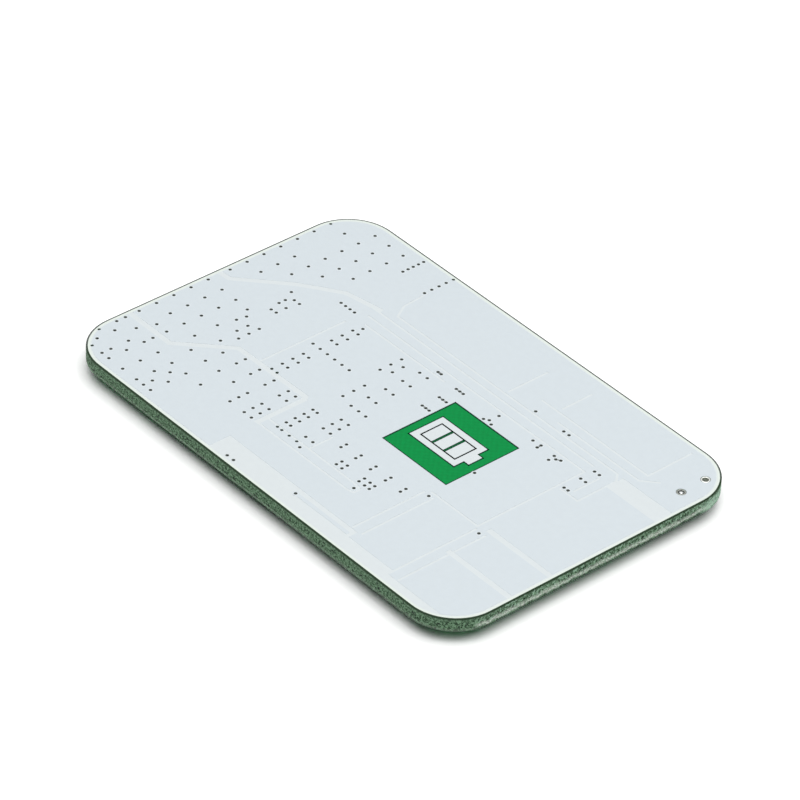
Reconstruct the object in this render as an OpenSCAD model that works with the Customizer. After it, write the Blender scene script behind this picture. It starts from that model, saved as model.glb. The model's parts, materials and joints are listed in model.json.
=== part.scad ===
// Battery protection board, lying with its component side down on its tallest packages.
// The printed side faces up. Layout positions run from the board's lower left corner, seen from above.

/* [Board] */
// Length of the board
board_l = 92; // [92:1:104]
// Width of the board
board_w = 60; // [60:1:70]
// Corner radius of the board
corner_r = 8.5; // [6:0.5:10]
// Thickness of the laminate
laminate_t = 2.2; // [1.6:0.1:2.4]
// Thickness of the green mask on each side
mask_t = 0.04; // [0.03:0.01:0.06]
// Height of the copper under the printed side, which lifts the ink over it
relief_t = 0.03; // [0.02:0.01:0.05]

/* [White ink] */
// Thickness of the white ink
ink_t = 0.04; // [0.03:0.01:0.06]
// Green rim left bare round the ink
ink_rim = 0.3; // [0.15:0.05:0.5]
// Width of the gaps along tracks, seen as lines in the ink
gap_w = 0.4; // [0.3:0.05:0.5]
// Width of the gaps between the copper planes
plane_gap = 1; // [0.6:0.05:1.1]

/* [Battery sign] */
// Side of the green square left in the ink
sign_side = 15; // [12:0.5:15]
// Centre of the square from the left edge
sign_x = 57.5; // [56.5:0.5:60]
// Centre of the square from the lower edge
sign_y = 30.5; // [30:0.5:31]
// Length of the battery drawn in the square
cell_l = 10.4; // [8:0.2:10.8]
// Height of the battery drawn in the square
cell_w = 6.8; // [5:0.2:8]
// Width of its outline
cell_line = 1.1; // [0.7:0.1:1.3]
// Number of charge bars in it
cell_bars = 3; // [2:1:4]

/* [Vias] */
// Diameter of a via
via_d = 0.55; // [0.3:0.05:0.6]
// Pitch of the stitching vias in the high-current end
stitch = 3.5; // [3.4:0.05:3.55]

/* [Wire holes] */
// Bore of a wire hole
wire_hole_d = 1.1; // [0.8:0.1:1.3]
// Pitch of the two wire holes
wire_hole_pitch = 5.08; // [4.5:0.01:6]
// Distance of the wire holes from the right edge
wire_hole_edge = 3.75; // [3:0.25:5]
// Distance of the outer wire hole from the upper edge
wire_hole_top = 4.75; // [4:0.25:6]
// Width of the tinned ring round a wire hole
ring_w = 0.2; // [0.15:0.05:0.4]

/* [Pads] */
// Thickness of a tinned land, copper and solder together
land_t = 0.1; // [0.08:0.01:0.15]
// Bare gap between a land and the mask
mask_gap = 0.08; // [0.05:0.01:0.12]
// Width of the tracks on the component side
track_w = 0.4; // [0.3:0.05:0.45]
// Distance of the power pads from the left edge
power_pad_edge = 2.5; // [2:0.25:3.5]
// Length of a power pad along the board
power_pad_l = 8.5; // [6:0.5:9]
// Width of a power pad across the board
power_pad_w = 20; // [14:1:22]
// Distance of each power pad from the long edge beside it
power_pad_side = 5; // [4.5:0.25:6]
// Corner radius of the pads
pad_r = 0.6; // [0.3:0.1:0.9]

/* [Transistors] */
// Number of power transistors in each bank
bank_count = 5; // [4:1:5]
// Pitch of the power transistors
bank_pitch = 9; // [8.5:0.25:10]
// Lowest power transistor from the lower edge
bank_y = 12; // [11:0.5:12]
// Centre of the discharge bank from the left edge
discharge_x = 27; // [26.5:0.5:28]
// Centre of the charge bank from the left edge
charge_x = 38.5; // [38.5:0.5:39.5]
// Height of the tallest packages, on which the board rests
tall_h = 2.2; // [2.1:0.05:2.6]
// Length of a power transistor's body
fet_l = 6.1; // [5.9:0.1:6.3]
// Width of a power transistor's body
fet_w = 6.6; // [6.3:0.1:6.9]
// Width of its drain tab
tab_w = 5.3; // [5:0.1:5.6]
// Length of the drain tab outside the body
tab_out = 1; // [0.8:0.1:1.2]
// Thickness of its tab and leads
fet_metal_t = 0.5; // [0.4:0.05:0.55]
// Width of its gate and source leads
fet_lead_w = 0.76; // [0.6:0.02:0.9]
// Pitch between neighbouring leads
fet_lead_pitch = 2.29; // [2.2:0.01:2.35]
// Reach of its leads outside the body
fet_lead_out = 2.8; // [2.5:0.1:3]

/* [Cell channels] */
// Number of cell channels
cells = 10; // [8:1:10]
// Pitch of the cell channels
cell_pitch = 3.5; // [3.3:0.05:3.6]
// First cell channel from the left edge
cell_x = 50; // [49:0.5:51]
// Width of a tap pad
tap_w = 2.2; // [1.8:0.1:2.6]
// Length of a tap pad
tap_l = 3; // [2.6:0.1:3.2]
// Distance of the tap pads from the lower edge
tap_edge = 1.7; // [1.5:0.1:2]

/* [Integrated circuits] */
// Leads on each side of the monitor
monitor_leads = 22; // [20:1:24]
// Lead pitch of the monitor
monitor_pitch = 0.5; // [0.48:0.01:0.52]
// Width of the monitor's body
monitor_w = 4.4; // [4:0.1:4.8]
// Height of the monitor
monitor_h = 1.1; // [0.9:0.05:1.3]
// Leads on each side of the gate driver
driver_leads = 4; // [4:1:5]
// Lead pitch of the gate driver
driver_pitch = 1.27; // [1.2:0.01:1.3]
// Width of the gate driver's body
driver_w = 3.9; // [3.6:0.1:4.2]
// Height of the gate driver
driver_h = 1.7; // [1.4:0.05:1.8]

/* [Hidden] */
$fn = 48;

// Draft of moulded packages, in degrees
draft = 7;
// Height of the laminate's component face over the surface that the board rests on
face_z = tall_h + land_t;
// Height of the laminate's printed face
top_z = face_z + laminate_t;
// Height of the white ink's underside
ink_z = top_z + mask_t;

// Size of the board in the drawn layout, and how far the upper and the right edge lie from it
drawn_l = 92;
drawn_w = 60;
upper = board_w - drawn_w;
right = board_l - drawn_l;

// Lead frames, from the seating plane: lower face of a lead where it leaves its body
fet_lead_z = 0.9;
monitor_lead_t = 0.15;
driver_lead_t = 0.2;
sot_lead_t = 0.12;
diode_lead_t = 0.2;

// Chips: [length, width, height, length of an end]
shunt = [6.3, 3.2, 0.7, 1.1];
chip_1206 = [3.2, 1.6, 0.55, 0.5];
chip_0805 = [2, 1.25, 1, 0.4];
chip_0603 = [1.6, 0.8, 0.45, 0.3];
// Thickness of the metal on a chip's ends
end_t = 0.04;

// Small-outline transistor: [length, width, height]
sot = [2.9, 1.3, 1];
// Clamp diode: [length, width]
diode = [4.4, 3.6];

// Rows of the cell channels, counted from the tap pads
balance_y = tap_edge + tap_l + 2.6;
sot_y = balance_y + 3.7;
filter_y = sot_y + 2.4;
filter_cap_y = filter_y + 1.4;

// Control parts
monitor_x = 58;
monitor_y = 24;
driver_x = 60;
driver_y = 36;
shunt_x = 15;
diode_x = board_l - 9;
diode_ys = [24, 40 + upper];

FET_BODIES = [for (i = [1:2 * bank_count]) str("mosfet_body_", i)];
FET_FRAMES = [for (i = [1:2 * bank_count]) str("mosfet_frame_", i)];

// ---- Outlines and layout helpers ----

module rounded(l, w, r) {
    square([l - 2 * r, w], center = true);
    square([l, w - 2 * r], center = true);
    for (x = [-1, 1], y = [-1, 1])
        translate([x * (l / 2 - r), y * (w / 2 - r)]) circle(r);
}

// Board outline drawn in by a margin
module outline(margin = 0) {
    rounded(board_l - 2 * margin, board_w - 2 * margin, corner_r - margin);
}

// Moves layout positions, which run from the lower left corner, to the board's centre
module layout() {
    translate([-board_l / 2, -board_w / 2]) children();
}

// Copies of a child in columns and rows
module grid(x, y, nx = 1, ny = 1, px = 1, py = 1) {
    for (i = [0:nx - 1], j = [0:ny - 1])
        translate([x + i * px, y + j * py]) children();
}

// Straight strip between two points
module strip(a, b, w) {
    reach = 0.3 * w;
    translate(a) rotate(atan2(b[1] - a[1], b[0] - a[0]))
        translate([-reach, -w / 2]) square([norm(b - a) + 2 * reach, w]);
}

// Strip along a run of points
module run(points, w) {
    for (i = [1:len(points) - 1]) strip(points[i - 1], points[i], w);
}

// ---- Vias ----

module via_places() {
    // Battery plane, on the stitching lattice
    for (x = [1.25, 8.25]) grid(x, 14, ny = 5, py = stitch) children();
    grid(4.75, 17.5, ny = 4, py = stitch) children();
    grid(5.75, 14) children();
    grid(4.6, 10.8) children();
    // Lower left plane, in staggered columns
    for (x = [8.25, 11.75, 15.25, 18.75]) grid(x, 2.5, ny = 3, py = stitch) children();
    for (x = [3, 6.5, 17]) grid(x, 4.25, ny = 2, py = stitch) children();
    for (x = [4, 6.5, 17]) grid(x, 2.5) children();
    for (x = [1.25, 8.25]) grid(x, 11.25) children();
    grid(1.25, 6, ny = 2, py = stitch) children();
    grid(22.4, 9.5) children();
    // Sense lines round the shunts
    for (x = [14.4, 18, 21.35, 25]) grid(x, 14) children();
    grid(11.8, 16.8) children();
    grid(11.8, 21.4) children();
    grid(15.3, 19.2) children();
    grid(18, 17.5) children();
    grid(11.4, 27.8) children();
    grid(12.5, 24.7) children();
    grid(12.8, 26.5) children();
    grid(14.85, 22.9, ny = 2, py = 2.2) children();
    grid(16.6, 21.8, ny = 3, py = 2.1) children();
    grid(14.85, 30.9, ny = 2, py = 2) children();
    grid(13.1, 32.9, ny = 2, py = 1.3) children();
    grid(13.7, 30.8) children();
    grid(14, 35.3, nx = 2, px = 1.3) children();
    // Discharge bank
    for (x = [21.5, 25]) grid(x, 17.4, ny = 2, py = 1.8) children();
    grid(24.8, 30.2, nx = 6, px = 1.77) children();
    grid(25.95, 20.9, nx = 2, ny = 4, px = 1.3, py = 2.13) children();
    grid(25.95, 33.05, nx = 2, ny = 3, px = 1.3, py = 2.18) children();
    grid(26.6, 38.95) children();
    // Common drain between the banks
    for (x = [28.55, 32.05, 33.8]) {
        grid(x, 10.4, ny = 3, py = 1.75) children();
        grid(x, 17.4, ny = 2, py = 1.8) children();
    }
    // Charge bank
    grid(36.5, 34.1, ny = 3, py = 2.22) children();
    grid(38.05, 12.1, nx = 2, ny = 5, px = 1.05, py = 1.77) children();
    grid(38.2, 25.1, ny = 3, py = 2.2) children();
    grid(38.2, 35.2, ny = 2, py = 2.2) children();
    grid(38.9, 1.5, nx = 2, px = 1.5) children();
    grid(40.9, 12.1) children();
    grid(40.9, 24.5, nx = 2, ny = 5, px = 1.8, py = stitch) children();
    grid(42.7, 12.1, ny = 2, py = 1.8) children();
    grid(42.7, 17.4, nx = 2, ny = 3, px = 1.7, py = 1.8) children();
    grid(42.5, 40.9, nx = 2, px = 0.75) children();
    grid(44.15, 11.5) children();
    grid(44.4, 13.9) children();
    grid(44.4, 24.5) children();
    // Gate driver
    grid(47.6, 33.25, nx = 3, ny = 3, px = 0.82, py = stitch) children();
    // Cell channels
    grid(48, 16.5, nx = 5, ny = 2, px = 3.5, py = 1.1) children();
    for (x = [50.85, 52.15, 56.2, 57.5, 58.6]) grid(x, 13.2, ny = 2, py = 1.1) children();
    grid(52.6, 3.7) children();
    grid(57, 11.5) children();
    grid(65.45, 19.2) children();
    grid(76.95, 19.2) children();
    // Control lines
    for (x = [56, 57.8]) grid(x, 38.5) children();
    grid(56.8, 39) children();
    grid(56.9, 40.9) children();
    grid(64.8, 40.9) children();
    grid(65.4, 28.45) children();
    grid(66.5, 40.25, ny = 2, py = 0.8) children();
    grid(69.9, 39.55) children();
    for (x = [69.7, 71.2]) grid(x, 40.9) children();
    grid(70.5, 40.5) children();
    grid(76.4, 40.3, nx = 2, ny = 2, px = 1.1, py = 2.85) children();
    grid(76.5, 36.8, nx = 2, px = 0.9) children();
    grid(59.5, 46.2) children();
    grid(66, 46.2, nx = 2, px = 1.2) children();
    translate([0, upper]) {
        // Pack plane, on the stitching lattice
        grid(1.25, 32.5, ny = 7, py = stitch) children();
        grid(4.75, 36, ny = 3, py = stitch) children();
        grid(8.25, 39.5, ny = 6, py = stitch) children();
        grid(11.75, 43, ny = 5, py = stitch) children();
        grid(15.25, 46.5, ny = 4, py = stitch) children();
        grid(4.75, 53.5) children();
        grid(12, 36.35) children();
        // Columns at the upper edge, and the row below them
        grid(18.6, 54.1, ny = 5, py = 1.1) children();
        grid(25.2, 53, ny = 5, py = 1.53) children();
        grid(19.1, 40.75, nx = 4, px = 1.1) children();
    }
}

module via_holes(extra = 0) {
    layout() via_places() circle(d = via_d + extra);
}

// Centres of the two wire holes
module wire_hole_places() {
    layout() grid(board_l - wire_hole_edge, board_w - wire_hole_top - wire_hole_pitch,
        ny = 2, py = wire_hole_pitch) children();
}

// ---- Copper under the white ink ----

// Gaps between the copper areas and along the tracks, as lines through the copper
module copper_gaps() {
    layout() {
        // Battery plane
        run([[-1, 12.5], [10.9, 12.5], [18.6, 20.2], [34.7, 20.4], [35.2, 19.8], [35.2, 10.4]], plane_gap);
        run([[23.3, 38.1], [23.3, 20.6]], gap_w);
        run([[45.3, 17], [45.3, 12.5]], gap_w);
        // Cell planes
        run([[75.5, 41.9], [75.5, 20.2], [65, 20.2]], gap_w);
        run([[77.5, 20.9], [93 + right, 20.9]], plane_gap);
        run([[77.5, 12.8], [93 + right, 12.8]], plane_gap);
        for (x = [64.2, 66.3]) run([[x, 19.4], [x, 5.3]], gap_w);
        for (x = [75.9, 78]) run([[x, 19.6], [x, 2.5]], gap_w);
        // Track round a via, below the cell channels
        run([[35.2, 12.35], [56.3, 12.35], [57.8, 12], [57.8, 10.8], [56.6, 10.5], [35.2, 10.4]], gap_w);
        translate([0, upper]) {
            // Pack plane
            run([[-1, 30.5], [3.1, 30.9], [10.9, 38.4], [17.5, 43.1], [24.5, 44.4]], plane_gap);
            run([[25.6, 52.5], [25.9, 48.1], [27.4, 45.5], [79, 45.5], [80.2, 44.2], [80.2, 36.4]], gap_w);
            // Track bundle from the banks to the control circuit
            run([[22, 43.9], [75.3, 43.9]], gap_w);
            run([[24.5, 41.9], [75.5, 41.9]], gap_w);
            run([[26, 40], [45, 40]], gap_w);
            run([[80.2, 36.2], [76.3, 36.2]], gap_w);
            run([[78.1, 42.6], [78.1, 37.4]], gap_w);
            run([[63.8, 47], [82.2, 47], [84.6, 49.2]], gap_w);
            // Planes at the upper edge
            run([[53.1, 54.4], [53.1, 46.3]], gap_w);
            run([[61.6, 56], [61.6, 50]], gap_w);
            run([[58, 48.9], [82.2, 48.9], [82.2, 58]], gap_w);
        }
    }
}

// Areas with no copper: a strip along the lower edge, and the end of the track bundle
module bare_areas() {
    layout() {
        difference() {
            translate([35.3, -1]) square([30.3, 6]);
            translate([52.6, 3.4]) square([12.3, 0.7]);
            translate([52.6, 3.75]) circle(d = 1.1);
        }
        translate([65.5, -1]) square([10.5, 4.3]);
        translate([76, -1]) square([14, 3.2]);
        translate([80.3, 42 + upper]) square([12 + right, 3.5]);
    }
}

module copper_areas() {
    difference() {
        outline(ink_rim + 0.6);
        copper_gaps();
        bare_areas();
    }
}

// ---- Copper of the component side ----

// Rectangle between two corners
module area(x1, y1, x2, y2) {
    translate([x1, y1]) square([x2 - x1, y2 - y1]);
}

module power_planes() {
    top = board_w - 0.5;
    bank_top = bank_y + (bank_count - 1) * bank_pitch + 5;
    source_x = discharge_x - fet_l / 2 - 1.2;
    drain_x = charge_x + fet_l / 2 + 0.4;
    // Battery minus, up to the near ends of the shunts
    area(0.5, 0.5, shunt_x - 1.1, board_w / 2 - 1.4);
    // Sources of the discharge bank, from the far ends of the shunts
    area(shunt_x + 1.1, 0.5, source_x, bank_top - 1);
    // Common drain of both banks
    area(source_x + 0.9, 4, drain_x, bank_top);
    // Pack minus, over the banks and down the sources of the charge bank
    area(0.5, board_w / 2 - 0.6, shunt_x - 1.1, top);
    area(0.5, bank_top + 0.8, drain_x + 5.4, top);
    area(drain_x + 0.8, 4, drain_x + 4.2, top);
}

// Tracks of the control circuit
module control_tracks() {
    w = track_w;
    lead_y = monitor_w / 2 + 1.2;
    // Cell channels, from the tap pads to the monitor
    for (i = [0:cells - 1]) {
        x = cell_x + i * cell_pitch;
        pin = monitor_x + (i - (cells - 1) / 2) * 2 * monitor_pitch;
        run([[x, tap_edge + tap_l], [x, filter_cap_y + 1.2], [pin, monitor_y - lead_y - 0.8],
            [pin, monitor_y - lead_y]], w);
    }
    // Monitor to the gate driver
    for (i = [-2:2]) {
        x = monitor_x + i * 2 * monitor_pitch;
        run([[x, monitor_y + lead_y], [x, monitor_y + lead_y + 2 - 0.3 * abs(i)],
            [x + 2, driver_y - 4 - 0.3 * abs(i)], [x + 2, driver_y - 3]], w);
    }
    // Gate lines to the charge bank and over it to the discharge bank
    for (i = [0:1]) run([[driver_x - 1 - i, driver_y + 3], [driver_x - 2 - i, driver_y + 5 + i],
        [charge_x + 7.5, driver_y + 5 + i], [charge_x + 7.5, bank_y]], w);
    // Wire hole lines
    for (i = [0:1]) {
        y = board_w - wire_hole_top - (1 - i) * wire_hole_pitch;
        run([[driver_x + 1 + i, driver_y + 3], [driver_x + 3 + i, 44 + i], [board_l - 12, 44 + i],
            [board_l - wire_hole_edge - 1, y]], w);
    }
}

// Planes of the control circuit
module control_planes() {
    area(70, 27, board_l - 0.5, board_w - 18.5);
    area(72, 19.2, board_l - 0.5, 26);
    area(49, board_w - 9, board_l - 8, board_w - 0.5);
    area(cell_x + cells * cell_pitch + 0.4, 3, board_l - 0.5, 18.2);
}

module component_copper() {
    layout() {
        power_planes();
        control_tracks();
        control_planes();
    }
}

// ---- Battery sign ----

module sign_window() {
    layout() translate([sign_x, sign_y]) square(sign_side, center = true);
}

module battery_drawing() {
    inner_l = cell_l - 2 * cell_line;
    inner_w = cell_w - 2 * cell_line;
    bar_pitch = inner_l / cell_bars;
    layout() translate([sign_x - cell_line / 2, sign_y]) {
        difference() {
            square([cell_l, cell_w], center = true);
            square([inner_l, inner_w], center = true);
        }
        translate([cell_l / 2, -cell_w / 5]) square([cell_line, 2 * cell_w / 5]);
        for (i = [0:cell_bars - 1])
            translate([-inner_l / 2 + (i + 0.5) * bar_pitch, 0])
                square([bar_pitch - cell_line / 2, inner_w - cell_line / 2], center = true);
    }
}

// ---- Board layers ----

module laminate() {
    color("#50704f") translate([0, 0, face_z]) linear_extrude(laminate_t) difference() {
        outline();
        via_holes();
        wire_hole_places() circle(d = wire_hole_d);
    }
}

module top_mask() {
    color("#19964b") translate([0, 0, top_z]) linear_extrude(mask_t) difference() {
        outline();
        via_holes();
        wire_hole_places() circle(d = ring_d() + 2 * mask_gap);
    }
}

module ink_openings() {
    via_holes();
    wire_hole_places() circle(d = ring_d() + 2 * mask_gap);
    sign_window();
}

// White ink: an even coat, lifted where copper lies under it, and the drawing in its window
module white_ink() {
    color("#dde3e8") translate([0, 0, ink_z]) {
        linear_extrude(ink_t) difference() {
            outline(ink_rim);
            ink_openings();
        }
        translate([0, 0, ink_t]) linear_extrude(relief_t) difference() {
            copper_areas();
            ink_openings();
        }
        linear_extrude(ink_t) battery_drawing();
    }
}

module bottom_openings() {
    via_holes();
    wire_hole_places() circle(d = ring_d() + 2 * mask_gap);
    lands(mask_gap);
    power_pads(mask_gap);
    tap_pads_flat(mask_gap);
}

// Component side mask: an even coat, standing out where copper lies under it
module bottom_mask() {
    color("#176b3a") {
        translate([0, 0, face_z - mask_t]) linear_extrude(mask_t) difference() {
            outline();
            bottom_openings();
        }
        translate([0, 0, face_z - mask_t - relief_t]) linear_extrude(relief_t) difference() {
            intersection() {
                outline(0.9);
                component_copper();
            }
            bottom_openings();
        }
    }
}

// ---- Wire holes ----

function ring_d() = wire_hole_d + 2 * ring_w;

module wire_ring(t) {
    linear_extrude(t) difference() {
        circle(d = ring_d());
        circle(d = wire_hole_d);
    }
}

// Tinned rings round the wire holes, on both faces of the laminate
module wire_rings() {
    color("#b9bcb8") wire_hole_places() {
        translate([0, 0, face_z - land_t]) wire_ring(land_t);
        translate([0, 0, top_z]) wire_ring(mask_t + ink_t);
    }
}

// Solder that closes the inner wire hole, with a shallow crown below and a groove round its top
module solder_fill() {
    r = wire_hole_d / 2;
    low = face_z - land_t;
    high = ink_z + ink_t;
    crown = 0.06;
    groove = 0.4;
    color("#d5d7d6") layout()
        translate([board_l - wire_hole_edge, board_w - wire_hole_top - wire_hole_pitch])
            rotate_extrude() polygon([
                [0, low - crown], [0.6 * r, low - 0.7 * crown], [r, low],
                [r, high - groove], [0.8 * r, high - groove], [0.5 * r, high - crown], [0, high]
            ]);
}

// ---- Pads and lands ----

module pad(l, w, grow) {
    rounded(l + 2 * grow, w + 2 * grow, pad_r + grow);
}

// Power pad beside the lower edge (side 0) or the upper edge (side 1)
module power_pad_flat(side, grow = 0) {
    y = power_pad_side + power_pad_w / 2;
    layout() translate([power_pad_edge + power_pad_l / 2, side == 0 ? y : board_w - y])
        pad(power_pad_l, power_pad_w, grow);
}

module power_pads(grow = 0) {
    for (side = [0, 1]) power_pad_flat(side, grow);
}

module battery_minus_pad() {
    color("#c3c6c4") translate([0, 0, face_z - land_t]) linear_extrude(land_t) power_pad_flat(0);
}

module pack_minus_pad() {
    color("#c3c6c4") translate([0, 0, face_z - land_t]) linear_extrude(land_t) power_pad_flat(1);
}

module tap_pads_flat(grow = 0) {
    layout() grid(cell_x, tap_edge + tap_l / 2, nx = cells, px = cell_pitch)
        pad(tap_w, tap_l, grow);
}

module tap_pads() {
    color("#c3c6c4") translate([0, 0, face_z - land_t]) linear_extrude(land_t) tap_pads_flat();
}

// Lands under a two-ended chip
module chip_lands(size, grow) {
    for (s = [-1, 1])
        translate([s * (size[0] / 2 - size[3] / 2 + 0.15), 0])
            square([size[3] + 0.3 + 2 * grow, size[1] + 0.2 + 2 * grow], center = true);
}

// Lands under leads along both long sides of a package
module lead_lands(count, pitch, row, w, l, grow) {
    for (s = [-1, 1], i = [0:count - 1])
        translate([(i - (count - 1) / 2) * pitch, s * row])
            square([w + 2 * grow, l + 2 * grow], center = true);
}

module fet_lands(grow) {
    tab_l = fet_l - 1.2 + tab_out;
    translate([fet_l / 2 + tab_out + 0.2 - tab_l, -tab_w / 2 - 0.2 - grow])
        square([tab_l + grow, tab_w + 0.4 + 2 * grow]);
    for (s = [-1, 1])
        translate([-fet_l / 2 - fet_lead_out + 0.6, s * fet_lead_pitch])
            square([1.8 + 2 * grow, fet_lead_w + 0.4 + 2 * grow], center = true);
}

module sot_lands(grow) {
    for (s = [-1, 1])
        translate([s * 0.95, -sot[1] / 2 - 0.4])
            square([0.6 + 2 * grow, 0.7 + 2 * grow], center = true);
    translate([0, sot[1] / 2 + 0.4]) square([0.6 + 2 * grow, 0.7 + 2 * grow], center = true);
}

module diode_lands(grow) {
    for (s = [-1, 1])
        translate([s * (diode[0] / 2 - 0.2), 0])
            square([1.9 + 2 * grow, 2.3 + 2 * grow], center = true);
}

// All lands of the component side, drawn larger by grow
module lands(grow = 0) {
    layout() {
        fet_places() mirror([0, 1]) fet_lands(grow);
        shunt_places() chip_lands(shunt, grow);
        balance_places() chip_lands(chip_1206, grow);
        small_resistor_places() chip_lands(chip_0603, grow);
        capacitor_places() chip_lands(chip_0805, grow);
        sot_places() mirror([0, 1]) sot_lands(grow);
        diode_places() diode_lands(grow);
        translate([monitor_x, monitor_y])
            lead_lands(monitor_leads, monitor_pitch, monitor_w / 2 + 0.75, 0.28, 0.9, min(grow, 0.05));
        translate([driver_x, driver_y])
            lead_lands(driver_leads, driver_pitch, driver_w / 2 + 0.8, 0.6, 1.2, grow);
    }
}

module solder_lands() {
    color("#c3c6c4") translate([0, 0, face_z - land_t]) linear_extrude(land_t) lands();
}

// ---- Places of the parts, from the lower left corner ----

// Transistors 1 to bank_count are the discharge bank, the others the charge bank
module fet_place(i) {
    row = (i - 1) % bank_count;
    charge = i > bank_count;
    translate([charge ? charge_x : discharge_x, bank_y + row * bank_pitch])
        rotate(charge ? 180 : 0) children();
}

module fet_places() {
    for (i = [1:2 * bank_count]) fet_place(i) children();
}

module shunt_places() {
    grid(shunt_x, 9, ny = 4, py = 5.2) children();
}

module balance_places() {
    grid(cell_x, balance_y, nx = cells, px = cell_pitch) rotate(90) children();
}

module sot_places() {
    grid(cell_x, sot_y, nx = cells, px = cell_pitch) children();
}

module small_resistor_places() {
    // Filter resistors of the channels
    grid(cell_x, filter_y, nx = cells, px = cell_pitch) children();
    // Gate resistors beside each bank
    for (i = [0:bank_count - 1]) {
        translate([discharge_x - fet_l / 2 - fet_lead_out - 1.2, bank_y + i * bank_pitch + fet_lead_pitch])
            rotate(90) children();
        translate([charge_x + fet_l / 2 + fet_lead_out + 1.2, bank_y + i * bank_pitch - fet_lead_pitch])
            rotate(90) children();
    }
    // Pull-up and timing resistors above the monitor and the driver
    grid(monitor_x - 4, monitor_y + 5, nx = 5, px = 2.2) children();
    grid(driver_x + 5, driver_y - 2, ny = 4, py = 1.4) children();
}

module capacitor_places() {
    grid(cell_x, filter_cap_y, nx = cells, px = cell_pitch) children();
    grid(monitor_x + 9.5, monitor_y - 2.4, ny = 4, py = 1.9) children();
    grid(driver_x - 5.5, driver_y - 1.5, ny = 3, py = 1.9) children();
}

module diode_places() {
    for (y = diode_ys) translate([diode_x, y]) rotate(90) children();
}

// Turns parts over, so that what stands up from z = 0 hangs under the component side
module hang() {
    translate([-board_l / 2, -board_w / 2, face_z - land_t]) children();
}

module over() {
    rotate([180, 0, 0]) children();
}

// ---- Package shapes, standing on z = 0 ----

// Side view of a moulded body, drafted below and above the band where its leads leave
module drafted(s, low, high, foot, h) {
    a = (low - foot) * tan(draft);
    b = (h - high) * tan(draft);
    polygon([
        [-s / 2 + a, foot], [s / 2 - a, foot], [s / 2, low], [s / 2, high],
        [s / 2 - b, h], [-s / 2 + b, h], [-s / 2, high], [-s / 2, low]
    ]);
}

module moulded(l, w, h, low, high, foot = 0) {
    intersection() {
        rotate([90, 0, 0]) linear_extrude(w + 1, center = true) drafted(l, low, high, foot, h);
        rotate([90, 0, 90]) linear_extrude(l + 1, center = true) drafted(w, low, high, foot, h);
    }
}

// Gull-wing lead that leaves its body at x = 0 and stands on z = 0
module gull_lead(w, t, z, reach, foot, knee, inside = 0) {
    lean = t / 2;
    rotate([90, 0, 0]) linear_extrude(w, center = true) polygon([
        [-inside, z], [knee - lean, z], [reach - foot - lean, 0], [reach, 0],
        [reach, t], [reach - foot, t], [knee, z + t], [-inside, z + t]
    ]);
}

module chip_body(size) {
    translate([0, 0, size[2] / 2])
        cube([size[0] - 2 * end_t, size[1], size[2] - 2 * end_t], center = true);
}

module chip_ends(size) {
    for (s = [-1, 1]) difference() {
        translate([s * (size[0] - size[3]) / 2, 0, size[2] / 2])
            cube([size[3], size[1], size[2]], center = true);
        translate([0, 0, size[2] / 2])
            cube([size[0] - 2 * end_t, size[1] + 1, size[2] - 2 * end_t], center = true);
    }
}

// ---- Power transistors ----

// Drain tab with its cropped corners, and the leads on the other side
module fet_frame_shape() {
    nib = 0.5;
    inside = 0.6;
    end_x = fet_l / 2 + tab_out;
    linear_extrude(fet_metal_t) polygon([
        [-fet_l / 2 + 1.4, -tab_w / 2], [end_x - nib, -tab_w / 2], [end_x, -tab_w / 2 + nib],
        [end_x, tab_w / 2 - nib], [end_x - nib, tab_w / 2], [-fet_l / 2 + 1.4, tab_w / 2]
    ]);
    for (s = [-1, 1])
        translate([-fet_l / 2, s * fet_lead_pitch, 0]) rotate(180)
            gull_lead(fet_lead_w, fet_metal_t, fet_lead_z, fet_lead_out, 1.2, 0.7, inside);
    translate([-fet_l / 2 - 0.7, -fet_lead_w / 2, fet_lead_z]) cube([0.7 + inside, fet_lead_w, fet_metal_t]);
}

module fet_body_shape() {
    difference() {
        moulded(fet_l, fet_w, tall_h, fet_lead_z, fet_lead_z + fet_metal_t);
        fet_frame_shape();
        // Ejector mark
        translate([-1.2, 0, tall_h - 0.08]) cylinder(d = 1.4, h = 1);
    }
}

module mosfet_body(i) {
    color("#26282a") hang() fet_place(i) over() fet_body_shape();
}

module mosfet_frame(i) {
    color("#aeb1b0") hang() fet_place(i) over() fet_frame_shape();
}

// ---- Shunts ----

module shunt_resistors() {
    color("#2d3032") hang() shunt_places() over() chip_body(shunt);
}

module shunt_terminals() {
    color("#b9bcb8") hang() shunt_places() over() chip_ends(shunt);
}

// ---- Integrated circuits ----

module ic_body(l, w, h, t) {
    low = h / 2 - t / 2;
    difference() {
        moulded(l, w, h, low, low + t, 0.1);
        // Mark beside lead 1
        translate([-l / 2 + 0.9, -w / 2 + 0.9, h - 0.06]) cylinder(d = 0.6, h = 1);
    }
}

module ic_leads(count, pitch, body_w, h, w, t, reach, foot) {
    for (s = [-1, 1], i = [0:count - 1])
        translate([(i - (count - 1) / 2) * pitch, s * body_w / 2, 0]) rotate(s * 90)
            gull_lead(w, t, h / 2 - t / 2, reach, foot, 0.25);
}

module monitor_body() {
    color("#232527") hang() translate([monitor_x, monitor_y]) over()
        ic_body(monitor_leads * monitor_pitch + 0.2, monitor_w, monitor_h, monitor_lead_t);
}

module monitor_leads() {
    color("#b4b7b6") hang() translate([monitor_x, monitor_y]) over()
        ic_leads(monitor_leads, monitor_pitch, monitor_w, monitor_h, 0.22, monitor_lead_t, 1, 0.55);
}

module driver_body() {
    color("#232527") hang() translate([driver_x, driver_y]) over()
        ic_body(driver_leads * driver_pitch - 0.15, driver_w, driver_h, driver_lead_t);
}

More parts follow.
